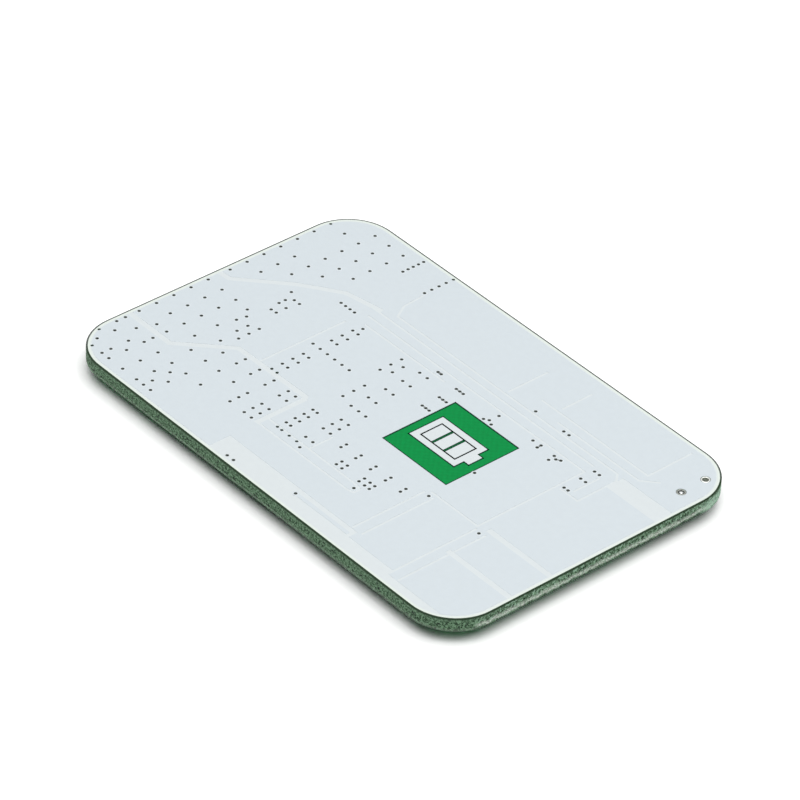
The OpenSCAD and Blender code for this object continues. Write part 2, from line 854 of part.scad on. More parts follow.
module driver_leads() {
    color("#b4b7b6") hang() translate([driver_x, driver_y]) over()
        ic_leads(driver_leads, driver_pitch, driver_w, driver_h, 0.42, driver_lead_t, 1.05, 0.6);
}

// ---- Cell channels ----

module balance_resistors() {
    color("#2d3032") hang() balance_places() over() chip_body(chip_1206);
}

module balance_resistor_ends() {
    color("#b9bcb8") hang() balance_places() over() chip_ends(chip_1206);
}

module balance_transistors() {
    low = sot[2] / 2 - sot_lead_t / 2;
    color("#26282a") hang() sot_places() over()
        moulded(sot[0], sot[1], sot[2], low, low + sot_lead_t, 0.08);
}

module sot_leads() {
    low = sot[2] / 2 - sot_lead_t / 2;
    for (p = [[-0.95, -1], [0.95, -1], [0, 1]])
        translate([p[0], p[1] * sot[1] / 2, 0]) rotate(p[1] * 90)
            gull_lead(0.4, sot_lead_t, low, 0.55, 0.3, 0.15);
}

module balance_transistor_leads() {
    color("#b4b7b6") hang() sot_places() over() sot_leads();
}

// ---- Small chips ----

module chip_resistors() {
    color("#2d3032") hang() small_resistor_places() over() chip_body(chip_0603);
}

module chip_resistor_ends() {
    color("#b9bcb8") hang() small_resistor_places() over() chip_ends(chip_0603);
}

module chip_capacitors() {
    color("#b08a63") hang() capacitor_places() over() chip_body(chip_0805);
}

module chip_capacitor_ends() {
    color("#b9bcb8") hang() capacitor_places() over() chip_ends(chip_0805);
}

// ---- Clamp diodes ----

module clamp_diodes() {
    low = tall_h / 2 - diode_lead_t / 2;
    color("#26282a") hang() diode_places() over()
        moulded(diode[0], diode[1], tall_h, low, low + diode_lead_t, 0.3);
}

// Lead bent down the end of the body and back under it
module diode_lead() {
    t = diode_lead_t;
    low = tall_h / 2 - t / 2;
    out = 0.45;
    rotate([90, 0, 0]) linear_extrude(2, center = true) polygon([
        [0, low], [out - t, low], [out - t, t], [-0.9, t], [-0.9, 0], [out, 0], [out, low + t], [0, low + t]
    ]);
}

module clamp_diode_leads() {
    color("#b4b7b6") hang() diode_places() over()
        for (s = [0, 180]) rotate(s) translate([diode[0] / 2, 0, 0]) diode_lead();
}

laminate();
top_mask();
white_ink();
bottom_mask();
wire_rings();
solder_fill();
battery_minus_pad();
pack_minus_pad();
tap_pads();
solder_lands();
shunt_resistors();
shunt_terminals();
monitor_body();
monitor_leads();
driver_body();
driver_leads();
balance_resistors();
balance_resistor_ends();
balance_transistors();
balance_transistor_leads();
chip_resistors();
chip_resistor_ends();
chip_capacitors();
chip_capacitor_ends();
clamp_diodes();
clamp_diode_leads();
for (i = [1:2 * bank_count]) {
    mosfet_body(i);
    mosfet_frame(i);
}
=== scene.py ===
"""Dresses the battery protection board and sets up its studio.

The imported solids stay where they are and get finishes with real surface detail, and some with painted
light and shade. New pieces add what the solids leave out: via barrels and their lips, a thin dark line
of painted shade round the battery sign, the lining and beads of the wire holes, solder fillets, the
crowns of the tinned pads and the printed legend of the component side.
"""

from __future__ import annotations

import json
import logging
import math
from collections.abc import Iterable, Sequence
from dataclasses import dataclass, field
from enum import Enum
from functools import reduce

import bmesh
import bpy
from mathutils import Matrix, Vector


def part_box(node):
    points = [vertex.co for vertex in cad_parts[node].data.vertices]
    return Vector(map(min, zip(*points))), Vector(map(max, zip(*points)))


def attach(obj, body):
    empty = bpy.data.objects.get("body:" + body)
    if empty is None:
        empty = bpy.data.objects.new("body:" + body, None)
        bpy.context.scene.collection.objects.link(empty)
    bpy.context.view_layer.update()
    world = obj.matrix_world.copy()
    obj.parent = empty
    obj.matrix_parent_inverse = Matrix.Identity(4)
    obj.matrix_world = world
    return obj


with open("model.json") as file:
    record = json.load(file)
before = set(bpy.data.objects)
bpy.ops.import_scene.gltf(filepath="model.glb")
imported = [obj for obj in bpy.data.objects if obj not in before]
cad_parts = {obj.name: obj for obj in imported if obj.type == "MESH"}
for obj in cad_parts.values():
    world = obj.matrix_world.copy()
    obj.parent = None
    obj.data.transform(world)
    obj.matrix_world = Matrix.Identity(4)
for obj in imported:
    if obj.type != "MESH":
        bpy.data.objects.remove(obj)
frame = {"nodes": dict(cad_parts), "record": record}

LOG = logging.getLogger("protection_board")
MM = 0.001
BODY = "root"

Node = bpy.types.Node
Socket = bpy.types.NodeSocket
Group = bpy.types.NodeTree
Mesh = bmesh.types.BMesh
Face = bmesh.types.BMFace
Vert = bmesh.types.BMVert
Span = tuple[float, float]
Colour = tuple[float, float, float, float]
Value = Socket | float | Sequence[float]


class Slot(Enum):
    """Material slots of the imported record."""

    LAMINATE = "laminate_green"
    MASK = "mask_green"
    MASK_BELOW = "mask_green_component_side"
    INK = "ink_white"
    TIN = "tin"
    SOLDER = "solder"
    LEAD = "lead_metal"
    MOULD = "mould_black"
    RESISTOR = "resistor_black"
    CERAMIC = "ceramic_tan"


class Skin(Enum):
    """Finishes that only new pieces have, with the record slot that each belongs to."""

    BARREL = "tin"
    FLUXED = "solder"


class Side(Enum):
    """Faces of the board, with the direction that their normal has along z."""

    PRINTED = 1
    COMPONENT = -1


def tone(*channels: int) -> Colour:
    """Turns a display colour into the linear one that a shader takes.

    Args:
        *channels: Red, green and blue from 0 to 255.

    Returns:
        The linear colour with full alpha.
    """
    shown = [c / 255 for c in channels]
    red, green, blue = (c / 12.92 if c <= 0.04045 else ((c + 0.055) / 1.055) ** 2.4 for c in shown)
    return red, green, blue, 1.0


# ---------------------------------------------------------------- node trees


@dataclass(frozen=True)
class Ramp:
    """A smooth step: where it starts and ends, and the strength at both."""

    start: float
    end: float
    low: float = 0.0
    high: float = 1.0


@dataclass(frozen=True)
class Mottle:
    """A mask that drifts between 0 and 1: its fineness, its octaves and its contrast."""

    scale: float
    detail: float
    contrast: float


class Tree:
    """A node tree under construction."""

    def __init__(self, tree: Group) -> None:
        """Starts on an empty or a cleared tree."""
        self.tree = tree

    def node(self, kind: str, **settings: object) -> Node:
        """Adds a node.

        Args:
            kind: The node's type name.
            **settings: Properties to set on it.

        Returns:
            The new node.
        """
        made = self.tree.nodes.new(kind)
        for key, value in settings.items():
            setattr(made, key, value)
        return made

    def feed(self, socket: Socket, value: Value) -> None:
        """Links a socket to another, or sets its plain value.

        Args:
            socket: The input to feed.
            value: An output socket or a plain value.
        """
        if isinstance(value, Socket):
            self.tree.links.new(value, socket)
        else:
            socket.default_value = value

    def fill(self, made: Node, *values: Value) -> Node:
        """Feeds a node's first inputs.

        Args:
            made: The node.
            *values: Its inputs in order.

        Returns:
            The same node.
        """
        for socket, value in zip(made.inputs, values):
            self.feed(socket, value)
        return made

    def math(self, operation: str, *values: Value) -> Socket:
        """Adds a Math node and returns its result."""
        return self.fill(self.node("ShaderNodeMath", operation=operation), *values).outputs[0]

    def blend(self, factor: Value, low: Value, high: Value) -> Socket:
        """Mixes two colours.

        Args:
            factor: 0 gives low and 1 gives high.
            low: The colour at 0.
            high: The colour at 1.

        Returns:
            The mixed colour.
        """
        made = self.node("ShaderNodeMix", data_type="RGBA")
        self.feed(made.inputs[0], factor)
        self.feed(made.inputs[6], low)
        self.feed(made.inputs[7], high)
        return made.outputs[2]

    def ramp(self, value: Value, ramp: Ramp, datum: float = 0.0) -> Socket:
        """Steps a value smoothly, where the step's start and end are measured from a datum."""
        made = self.node("ShaderNodeMapRange", interpolation_type="SMOOTHSTEP")
        return self.fill(made, value, datum + ramp.start, datum + ramp.end, ramp.low, ramp.high).outputs[0]

    def between(self, mask: Value, ends: Span) -> Socket:
        """Maps a mask from 0 to 1 onto a span."""
        return self.ramp(mask, Ramp(0.0, 1.0, *ends))

    def weigh(self, first: Value, share: float, second: Value) -> Socket:
        """Adds two masks, the first with its share and the second with the rest."""
        return self.math("MULTIPLY_ADD", first, share, self.math("MULTIPLY", second, 1 - share))

    def product(self, *masks: Value) -> Socket:
        """Multiplies masks."""
        return reduce(lambda made, mask: self.math("MULTIPLY", made, mask), masks)

    def off(self, value: Value, level: float) -> Socket:
        """The distance of a value from a level."""
        return self.math("ABSOLUTE", self.math("SUBTRACT", value, level))

    def axes(self, vector: Socket) -> tuple[Socket, ...]:
        """Splits a vector into its x, y and z sockets."""
        return tuple(self.fill(self.node("ShaderNodeSeparateXYZ"), vector).outputs)

    def joined(self, *axes: Value) -> Socket:
        """Joins numbers into a vector."""
        return self.fill(self.node("ShaderNodeCombineXYZ"), *axes).outputs[0]

    def use(self, group: Group, **values: Value) -> Node:
        """Places a shared node group.

        Args:
            group: The group to place.
            **values: Its inputs by name, with _ for a space.

        Returns:
            The group node.
        """
        made = self.node("ShaderNodeGroup", node_tree=group)
        for key, value in values.items():
            self.feed(made.inputs[key.replace("_", " ")], value)
        return made


def new_group(name: str, numbers: Sequence[str], masks: Sequence[str]) -> tuple[Tree, Node, Node]:
    """Starts a shader node group that reads a place and some numbers, and gives masks.

    Args:
        name: The group's name.
        numbers: Names of its inputs after the first one, Vector.
        masks: Names of its outputs.

    Returns:
        The group's tree, its input node and its output node.
    """
    group = bpy.data.node_groups.new(name, "ShaderNodeTree")
    group.interface.new_socket(name="Vector", in_out="INPUT", socket_type="NodeSocketVector")
    for label in numbers:
        group.interface.new_socket(name=label, in_out="INPUT", socket_type="NodeSocketFloat")
    for label in masks:
        group.interface.new_socket(name=label, in_out="OUTPUT", socket_type="NodeSocketFloat")
    tree = Tree(group)
    return tree, tree.node("NodeGroupInput"), tree.node("NodeGroupOutput")


def mottle_group() -> Group:
    """Builds the group for uneven surfaces: a mask that drifts between 0 and 1.

    Returns:
        The node group.
    """
    tree, given, out = new_group("mottle", ("Scale", "Detail", "Contrast"), ("Mask",))
    noise = tree.node("ShaderNodeTexNoise")
    for name in ("Vector", "Scale", "Detail"):
        tree.feed(noise.inputs[name], given.outputs[name])
    half = tree.math("DIVIDE", 0.5, given.outputs["Contrast"])
    low = tree.math("SUBTRACT", 0.5, half)
    high = tree.math("ADD", 0.5, half)
    step = tree.node("ShaderNodeMapRange", interpolation_type="SMOOTHSTEP")
    tree.feed(out.inputs["Mask"], tree.fill(step, noise.outputs[0], low, high).outputs[0])
    return tree.tree


def grit_group() -> Group:
    """Builds the group for small grains: cells of different heights.

    Returns:
        The node group.
    """
    tree, given, out = new_group("grit", ("Scale",), ("Mask", "Height"))
    cells = tree.node("ShaderNodeTexVoronoi", feature="SMOOTH_F1")
    tree.feed(cells.inputs["Vector"], given.outputs["Vector"])
    tree.feed(cells.inputs["Scale"], given.outputs["Scale"])
    tree.feed(out.inputs["Height"], cells.outputs["Distance"])
    tree.feed(out.inputs["Mask"], tree.axes(cells.outputs["Color"])[0])
    return tree.tree


def weave_group() -> Group:
    """Builds the group for glass cloth that shows through a coat: crossing yarns along x and y.

    Returns:
        The node group.
    """
    tree, given, out = new_group("glass_weave", ("Pitch",), ("Height",))
    x, y, _ = tree.axes(given.outputs["Vector"])
    turn = tree.math("DIVIDE", math.pi, given.outputs["Pitch"])
    over = tree.math("SINE", tree.math("MULTIPLY", x, turn))
    under = tree.math("SINE", tree.math("MULTIPLY", y, turn))
    crossing = tree.math("MULTIPLY", over, under)
    tree.feed(out.inputs["Height"], tree.math("MULTIPLY_ADD", crossing, 0.5, 0.5))
    return tree.tree


def outline_group() -> Group:
    """Builds the group that measures how far inside the board's rounded outline a point lies.

    Returns:
        The node group, whose distance is in metres.
    """
    halves = ("Half Length", "Half Width")
    tree, given, out = new_group("outline_distance", (*halves, "Corner"), ("Inside",))
    corner = given.outputs["Corner"]
    sides = []
    for along, half in zip(tree.axes(given.outputs["Vector"]), halves):
        straight = tree.math("SUBTRACT", given.outputs[half], corner)
        sides.append(tree.math("SUBTRACT", tree.math("ABSOLUTE", along), straight))
    beyond = tree.joined(*(tree.math("MAXIMUM", side, 0.0) for side in sides))
    reach = tree.fill(tree.node("ShaderNodeVectorMath", operation="LENGTH"), beyond).outputs["Value"]
    inner = tree.math("MINIMUM", tree.math("MAXIMUM", *sides), 0.0)
    outside = tree.math("SUBTRACT", tree.math("ADD", reach, inner), corner)
    tree.feed(out.inputs["Inside"], tree.math("MULTIPLY", outside, -1.0))
    return tree.tree


def fibre_group() -> Group:
    """Builds the group for the cut edge of glass laminate: streaks of yarn that run along the edge.

    Returns:
        The node group.
    """
    tree, given, out = new_group("cut_fibre", ("Layer", "Streak"), ("Yarn", "Height"))
    x, y, z = tree.axes(given.outputs["Vector"])
    streak = given.outputs["Streak"]
    drawn = tree.joined(
        tree.math("DIVIDE", tree.math("ADD", x, y), streak),
        tree.math("DIVIDE", tree.math("SUBTRACT", x, y), streak),
        tree.math("DIVIDE", z, given.outputs["Layer"]),
    )
    yarn = tree.node("ShaderNodeTexNoise")
    for name, value in (("Vector", drawn), ("Scale", 1.0), ("Detail", 4.0), ("Roughness", 0.65)):
        tree.feed(yarn.inputs[name], value)
    tree.feed(out.inputs["Yarn"], tree.ramp(yarn.outputs[0], Ramp(0.35, 0.65)))
    tree.feed(out.inputs["Height"], yarn.outputs[0])
    return tree.tree


@dataclass(frozen=True)
class Effects:
    """The shared node groups, built once."""

    mottle: Group = field(default_factory=mottle_group)
    grit: Group = field(default_factory=grit_group)
    weave: Group = field(default_factory=weave_group)
    outline: Group = field(default_factory=outline_group)
    fibre: Group = field(default_factory=fibre_group)


@dataclass(frozen=True)
class BoardSize:
    """Levels and outline of the board, in metres."""

    half_length: float
    half_width: float
    underside: float
    face: float
    corner: float = 8.5 * MM
    mask: float = 0.04 * MM
    relief: float = 0.03 * MM
    ink: float = 0.04 * MM

    @classmethod
    def measured(cls) -> BoardSize:
        """Reads the outline and the two faces from the laminate."""
        low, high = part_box("laminate")
        return cls(half_length=high.x, half_width=high.y, underside=low.z, face=high.z)

    @property
    def mask_below(self) -> float:
        """Height of the component side's mask over bare laminate."""
        return self.underside - self.mask

    @property
    def top(self) -> float:
        """Height of the ink over copper."""
        return self.face + self.mask + self.ink + self.relief

    def copper_level(self, side: Side) -> float:
        """Finds the height between the coat over copper and the coat over bare laminate.

        Args:
            side: The side of the board.

        Returns:
            The height in metres.
        """
        if side is Side.PRINTED:
            return self.top - self.relief / 2
        return self.mask_below - self.relief / 2


# ---------------------------------------------------------------- finishes


class Look(Tree):
    """The tree of one material, with its shader and what every finish reads."""

    def __init__(self, material: bpy.types.Material, effects: Effects, size: BoardSize) -> None:
        """Starts on a new material, in Object coordinates.

        Args:
            material: The material.
            effects: The shared node groups.
            size: The board's levels.
        """
        material.use_nodes = True
        super().__init__(material.node_tree)
        self.shader = material.node_tree.nodes["Principled BSDF"]
        self.effects = effects
        self.size = size
        self.place = self.node("ShaderNodeTexCoord").outputs["Object"]
        self.x, self.y, self.z = self.axes(self.place)

    def mottle(self, kind: Mottle) -> Socket:
        """Places the mottle and returns its mask."""
        values = {"Scale": kind.scale, "Detail": kind.detail, "Contrast": kind.contrast}
        return self.use(self.effects.mottle, Vector=self.place, **values).outputs["Mask"]

    def grit(self, scale: float) -> tuple[Socket, Socket]:
        """Places the grit and returns its mask and its height."""
        made = self.use(self.effects.grit, Vector=self.place, Scale=scale)
        return made.outputs["Mask"], made.outputs["Height"]

    def fibre(self, grain: Span) -> tuple[Socket, Socket]:
        """Places the fibre with its layer and streak sizes, and returns its yarn and its height."""
        made = self.use(self.effects.fibre, Vector=self.place, Layer=grain[0], Streak=grain[1])
        return made.outputs["Yarn"], made.outputs["Height"]

    def inside(self) -> Socket:
        """Measures how far inside the board's outline a point lies.

        Returns:
            The distance in metres.
        """
        halves = {"Half_Length": self.size.half_length, "Half_Width": self.size.half_width}
        made = self.use(self.effects.outline, Vector=self.place, Corner=self.size.corner, **halves)
        return made.outputs["Inside"]

    def lit(self, colour: Value, amount: Value) -> Socket:
        """Multiplies the brightness of a colour.

        Args:
            colour: The colour.
            amount: 1 leaves it as it is.

        Returns:
            The new colour.
        """
        made = self.node("ShaderNodeHueSaturation")
        self.feed(made.inputs["Color"], colour)
        self.feed(made.inputs["Value"], amount)
        return made.outputs[0]

    def paint(self, **values: Value) -> None:
        """Feeds the shader's inputs by name, with _ for a space."""
        for key, value in values.items():
            self.feed(self.shader.inputs[key.replace("_", " ")], value)

    def bump(self, height: Socket, depth: float) -> None:
        """Raises the surface by a height mask.

        Args:
            height: Mask from 0 to 1.
            depth: Depth in metres of the whole range.
        """
        made = self.node("ShaderNodeBump")
        self.feed(made.inputs["Distance"], depth)
        self.feed(made.inputs["Height"], height)
        self.paint(Normal=made.outputs[0])


@dataclass(frozen=True)
class Finish:
    """A material with the surface detail of one real finish."""

    name: str

    def make(self, effects: Effects, size: BoardSize) -> bpy.types.Material:
        """Builds the material.

        Args:
            effects: The shared node groups.
            size: The board's levels, which some finishes follow.

        Returns:
            The new material.
        """
        material = bpy.data.materials.new(self.name)
        self.shade(Look(material, effects, size))
        return material

    def shade(self, look: Look) -> None:
        """Feeds the shader. Each finish has its own way."""
        raise NotImplementedError


@dataclass(frozen=True)
class WhiteInk(Finish):
    """Satin white ink: cooler over copper, with painted highlights as a whiter ring round the vias and a
    paler band along the outline.
    """

    over_copper: Colour = tone(219, 228, 233)
    over_laminate: Colour = tone(226, 233, 235)
    # painted highlight: a pale band just inside the board's outline
    at_rim: Colour = tone(236, 245, 237)
    # painted highlight: the raised lips round the vias are whiter
    lip_highlight: Colour = tone(228, 236, 240)
    rim: Ramp = Ramp(0.45 * MM, 0.95 * MM, 1.0, 0.0)
    lip_rise: float = 0.003 * MM
    cloud: Mottle = Mottle(900.0, 3.0, 2.0)
    brightness: Span = (0.992, 1.006)
    roughness: Span = (0.4, 0.5)
    shine: float = 0.3
    peel: Mottle = Mottle(5200.0, 4.0, 1.5)
    depth: float = 0.004 * MM

    def shade(self, look: Look) -> None:
        """Follows the copper under the ink by height, and the outline by distance.

        Args:
            look: The material's tree and shader.
        """
        copper = look.math("GREATER_THAN", look.z, look.size.copper_level(Side.PRINTED))
        colour = look.blend(copper, self.over_laminate, self.over_copper)
        # painted highlight on the via lips, found by their height
        lip = look.math("GREATER_THAN", look.z, look.size.top + self.lip_rise)
        colour = look.blend(lip, colour, self.lip_highlight)
        # painted highlight along the outline
        colour = look.blend(look.ramp(look.inside(), self.rim), colour, self.at_rim)
        cloud = look.mottle(self.cloud)
        look.paint(
            Base_Color=look.lit(colour, look.between(cloud, self.brightness)),
            Roughness=look.between(cloud, self.roughness),
            Specular_IOR_Level=self.shine,
        )
        look.bump(look.mottle(self.peel), self.depth)


@dataclass(frozen=True)
class GreenMask(Finish):
    """Glossy solder mask over glass cloth. Each side has its own colours."""

    over_copper: Colour
    at_rim: Colour
    rim: Ramp = Ramp(0.3 * MM, 0.6 * MM, 1.0, 0.0)
    cloth_pitch: float = 0.55 * MM
    cloud: Mottle = Mottle(1500.0, 3.0, 1.6)
    brightness: Span = (0.93, 1.07)
    roughness: Span = (0.28, 0.38)
    shine: float = 0.04
    coat: float = 0.0
    coat_roughness: float = 0.12
    depth: float = 0.006 * MM

    def face_colour(self, look: Look) -> Socket:
        """Colours the mask away from the rim. Each side has its own way."""
        raise NotImplementedError

    def rim_colour(self, look: Look) -> Value:
        """Colours the mask at the rim."""
        return self.at_rim

    def shade(self, look: Look) -> None:
        """Shows the cloth under the mask as a faint weave.

        Args:
            look: The material's tree and shader.
        """
        rim = look.ramp(look.inside(), self.rim)
        colour = look.blend(rim, self.face_colour(look), self.rim_colour(look))
        weave = look.use(look.effects.weave, Vector=look.place, Pitch=self.cloth_pitch)
        cloud = look.mottle(self.cloud)
        both = look.weigh(cloud, 0.5, weave.outputs["Height"])
        look.paint(
            Base_Color=look.lit(colour, look.between(both, self.brightness)),
            Roughness=look.between(cloud, self.roughness),
            Specular_IOR_Level=self.shine,
            Coat_Weight=self.coat,
            Coat_Roughness=self.coat_roughness,
        )
        look.bump(both, self.depth)


@dataclass(frozen=True)
class PrintedMask(GreenMask):
    """Mask of the printed side, with painted shade: dark lines against the ink's edges, and a dark rim
    that is paler along the two rear edges.
    """

    over_copper: Colour = tone(15, 146, 73)
    # painted shade: the dark line along the board's outline
    at_rim: Colour = tone(46, 66, 46)
    # painted shade: dark mask beside the ink's edges, on the line pieces that stand above the plain face
    ink_edge_shade: Colour = tone(12, 60, 42)
    # the same painted shade line, paler grey along the two rear edges
    far_rim: Colour = tone(100, 106, 102)
    far: Ramp = Ramp(-0.1, 0.1)
    ink_edge_shade_rise: float = 0.002 * MM

    def face_colour(self, look: Look) -> Socket:
        """Darkens what stands above the mask's plain face: the painted shade lines beside the ink."""
        level = look.size.face + look.size.mask + self.ink_edge_shade_rise
        return look.blend(look.math("GREATER_THAN", look.z, level), self.over_copper, self.ink_edge_shade)

    def rim_colour(self, look: Look) -> Socket:
        """Pales the painted shade of the rim beyond the board's diagonal.

        Args:
            look: The material's tree and shader.

        Returns:
            The rim's colour.
        """
        across = look.math("DIVIDE", look.y, look.size.half_width)
        along = look.math("DIVIDE", look.x, look.size.half_length)
        far = look.ramp(look.math("SUBTRACT", across, along), self.far)
        return look.blend(far, self.at_rim, self.far_rim)


@dataclass(frozen=True)
class ComponentMask(GreenMask):
    """Mask of the component side, paler over the copper than over bare laminate."""

    over_copper: Colour = tone(24, 122, 62)
    at_rim: Colour = tone(14, 70, 38)
    over_laminate: Colour = tone(12, 84, 42)
    roughness: Span = (0.3, 0.4)
    shine: float = 0.35
    coat: float = 0.35

    def face_colour(self, look: Look) -> Socket:
        """Tells copper from bare laminate by height."""
        copper = look.math("LESS_THAN", look.z, look.size.copper_level(Side.COMPONENT))
        return look.blend(copper, self.over_laminate, self.over_copper)


@dataclass(frozen=True)
class CutLaminate(Finish):
    """Routed glass laminate with snapped short edges: dull resin and pale yarn, with painted shade along
    the top of the wall and at the foot of the short edges, and painted light on the corner beside the wire
    holes.
    """

    resin: Colour = tone(36, 66, 40)
    yarn: Colour = tone(131, 170, 135)
    # dark grain pits, and also the painted shade at the foot of the short edges
    pit_and_foot_shade: Colour = tone(18, 34, 24)
    # painted shade: a dark band along the top of the wall, under the board's rim
    wall_top_shade: Colour = tone(38, 58, 40)
    snapped: Colour = tone(226, 238, 224)
    # painted light: the pale corner beside the wire holes, and painted highlight glints on the short edges
    corner_light_and_glint: Colour = tone(186, 226, 198)
    bore: Colour = tone(130, 136, 132)
    cloth: Span = (0.13 * MM, 0.3 * MM)
    shreds: Span = (0.16 * MM, 0.5 * MM)
    grain: float = 3800.0
    coarse: Mottle = Mottle(2600.0, 3.0, 2.6)
    drift: Mottle = Mottle(700.0, 6.0, 2.0)
    clump: Ramp = Ramp(0.3, 0.7)
    pits: Ramp = Ramp(0.55, 0.9)
    seam_depth: float = 0.3 * MM
    seam: Ramp = Ramp(0.1 * MM, 0.3 * MM, 0.2, 0.0)
    coat: Ramp = Ramp(-0.19 * MM, -0.01 * MM)
    short: Ramp = Ramp(-0.6 * MM, -0.2 * MM)
    glint: Ramp = Ramp(0.08, 0.32, 0.6, 0.0)
    foot: Ramp = Ramp(0.05 * MM, 0.3 * MM, 0.7, 0.0)
    band_height: float = 0.46 * MM
    band_drift: float = 0.34 * MM
    band_rise: Ramp = Ramp(-0.36 * MM, -0.08 * MM)
    band_fall: Ramp = Ramp(0.0, 0.8 * MM, 1.0, 0.0)
    band_shred: Ramp = Ramp(0.1, 0.8, 0.2, 1.0)
    burr_height: float = 0.16 * MM
    burr_fade: Ramp = Ramp(0.1 * MM, 0.36 * MM, 0.13, 0.0)
    # where the painted light on the corner beside the wire holes lies
    lit_corner_right: Ramp = Ramp(-4 * MM, -2 * MM)
    lit_corner_upper: Ramp = Ramp(-2 * MM, 2 * MM)
    lit_corner_below: Ramp = Ramp(-0.3 * MM, -0.6 * MM)
    lit_corner_grain: float = 0.6
    wall: Ramp = Ramp(0.2 * MM, 0.3 * MM)
    roughness: Span = (0.8, 0.6)
    shine: float = 0.2
    grit_lift: float = 0.5
    depth: float = 0.07 * MM

    def shade(self, look: Look) -> None:
        """Tells the outer wall from the bores by distance, and the layers by height.

        Args:
            look: The material's tree and shader.
        """
        size = look.size
        yarn, yarn_height = look.fibre(self.cloth)
        grit, grit_height = look.grit(self.grain)
        coarse = look.mottle(self.coarse)
        clumps = look.ramp(look.weigh(coarse, 0.5, yarn), self.clump)
        short = look.ramp(look.math("ABSOLUTE", look.x), self.short, size.half_length)
        foot = look.ramp(look.z, self.foot, size.underside)
        colour = look.blend(clumps, self.resin, self.yarn)
        for mask, tint in (
            (look.ramp(grit, self.pits), self.pit_and_foot_shade),
            (look.ramp(look.off(look.z, size.face - self.seam_depth), self.seam), self.yarn),
            # painted shade along the top of the wall
            (look.ramp(look.z, self.coat, size.face), self.wall_top_shade),
            # painted highlight: pale glints on the grain of the short edges
            (look.product(look.ramp(grit, self.glint), short), self.corner_light_and_glint),
            # painted shade at the foot of the short edges
            (look.product(foot, short), self.pit_and_foot_shade),
            (self.torn(look, short), self.snapped),
            (self.burr(look, short), self.snapped),
            # painted light on the corner beside the wire holes
            (self.lit_corner(look, coarse), self.corner_light_and_glint),
            (look.ramp(look.inside(), self.wall), self.bore),
        ):
            colour = look.blend(mask, colour, tint)
        look.paint(
            Base_Color=colour,
            Roughness=look.between(yarn, self.roughness),
            Specular_IOR_Level=self.shine,
        )
        rough = look.math("MULTIPLY_ADD", grit_height, self.grit_lift, yarn_height)
        look.bump(rough, self.depth)

    def torn(self, look: Look, short: Socket) -> Socket:
        """Masks the pale torn band where the short edges were snapped from the panel.

        Args:
            look: The material's tree and shader.
            short: Mask of the short edges.

        Returns:
            The mask, from 0 to 1.
        """
        height = look.size.underside + self.band_height
        middle = look.math("MULTIPLY_ADD", look.mottle(self.drift), self.band_drift, height)
        above = look.math("SUBTRACT", look.z, middle)
        shreds = look.ramp(look.fibre(self.shreds)[0], self.band_shred)
        rise = look.ramp(above, self.band_rise)
        return look.product(rise, look.ramp(above, self.band_fall), shreds, short)

    def burr(self, look: Look, short: Socket) -> Socket:
        """Masks the faint pale burr along the lower rim of the routed edges."""
        away = look.off(look.z, look.size.underside + self.burr_height)
        return look.product(look.ramp(away, self.burr_fade), look.math("SUBTRACT", 1.0, short))

    def lit_corner(self, look: Look, grain: Socket) -> Socket:
        """Masks the painted light on the corner beside the wire holes.

        Args:
            look: The material's tree and shader.
            grain: Grain that breaks the mask up.

        Returns:
            The mask, from 0 to 1.
        """
        size = look.size
        return look.product(
            look.ramp(look.x, self.lit_corner_right, size.half_length),
            look.ramp(look.y, self.lit_corner_upper, size.half_width - size.corner),
            look.ramp(look.z, self.lit_corner_below, size.face),
            look.math("MULTIPLY_ADD", grain, self.lit_corner_grain, 1 - self.lit_corner_grain),
        )


@dataclass(frozen=True)
class Metal(Finish):
    """Tin or solder: bright, with slow waves and fine crystals."""

    colour: Colour
    dull: Colour
    roughness: Span = (0.2, 0.38)
    wave: Mottle = Mottle(900.0, 2.0, 1.6)
    crystal: float = 14000.0
    crystal_share: float = 0.4
    crystal_lift: float = 0.15
    depth: float = 0.012 * MM

    def shade(self, look: Look) -> None:
        """Mixes slow waves with fine crystals in colour, gloss and height.

        Args:
            look: The material's tree and shader.
        """
        waves = look.mottle(self.wave)
        crystals, height = look.grit(self.crystal)
        dulled = look.weigh(crystals, self.crystal_share, waves)
        look.paint(
            Base_Color=look.blend(dulled, self.colour, self.dull),
            Metallic=1.0,
            Roughness=look.between(dulled, self.roughness),
        )
        look.bump(look.math("MULTIPLY_ADD", height, self.crystal_lift, waves), self.depth)


@dataclass(frozen=True)
class Moulding(Finish):
    """Moulding compound, glaze or ceramic with fine grit in it."""

    colour: Colour
    fleck: Colour
    roughness: Span = (0.45, 0.62)
    grain: float = 16000.0
    cloud: Mottle = Mottle(1100.0, 4.0, 1.5)
    cloud_share: float = 0.35
    flecks: Ramp = Ramp(0.55, 1.0)
    depth: float = 0.008 * MM
    gloss: float = 0.5

    def shade(self, look: Look) -> None:
        """Scatters pale flecks over the compound and roughens it.

        Args:
            look: The material's tree and shader.
        """
        grit, height = look.grit(self.grain)
        cloud = look.mottle(self.cloud)
        amount = look.weigh(cloud, self.cloud_share, look.ramp(grit, self.flecks))
        look.paint(
            Base_Color=look.blend(amount, self.colour, self.fleck),
            Roughness=look.between(cloud, self.roughness),
            Specular_IOR_Level=self.gloss,
        )
        look.bump(height, self.depth)


FINE_WAVE = Mottle(2200.0, 2.0, 1.6)

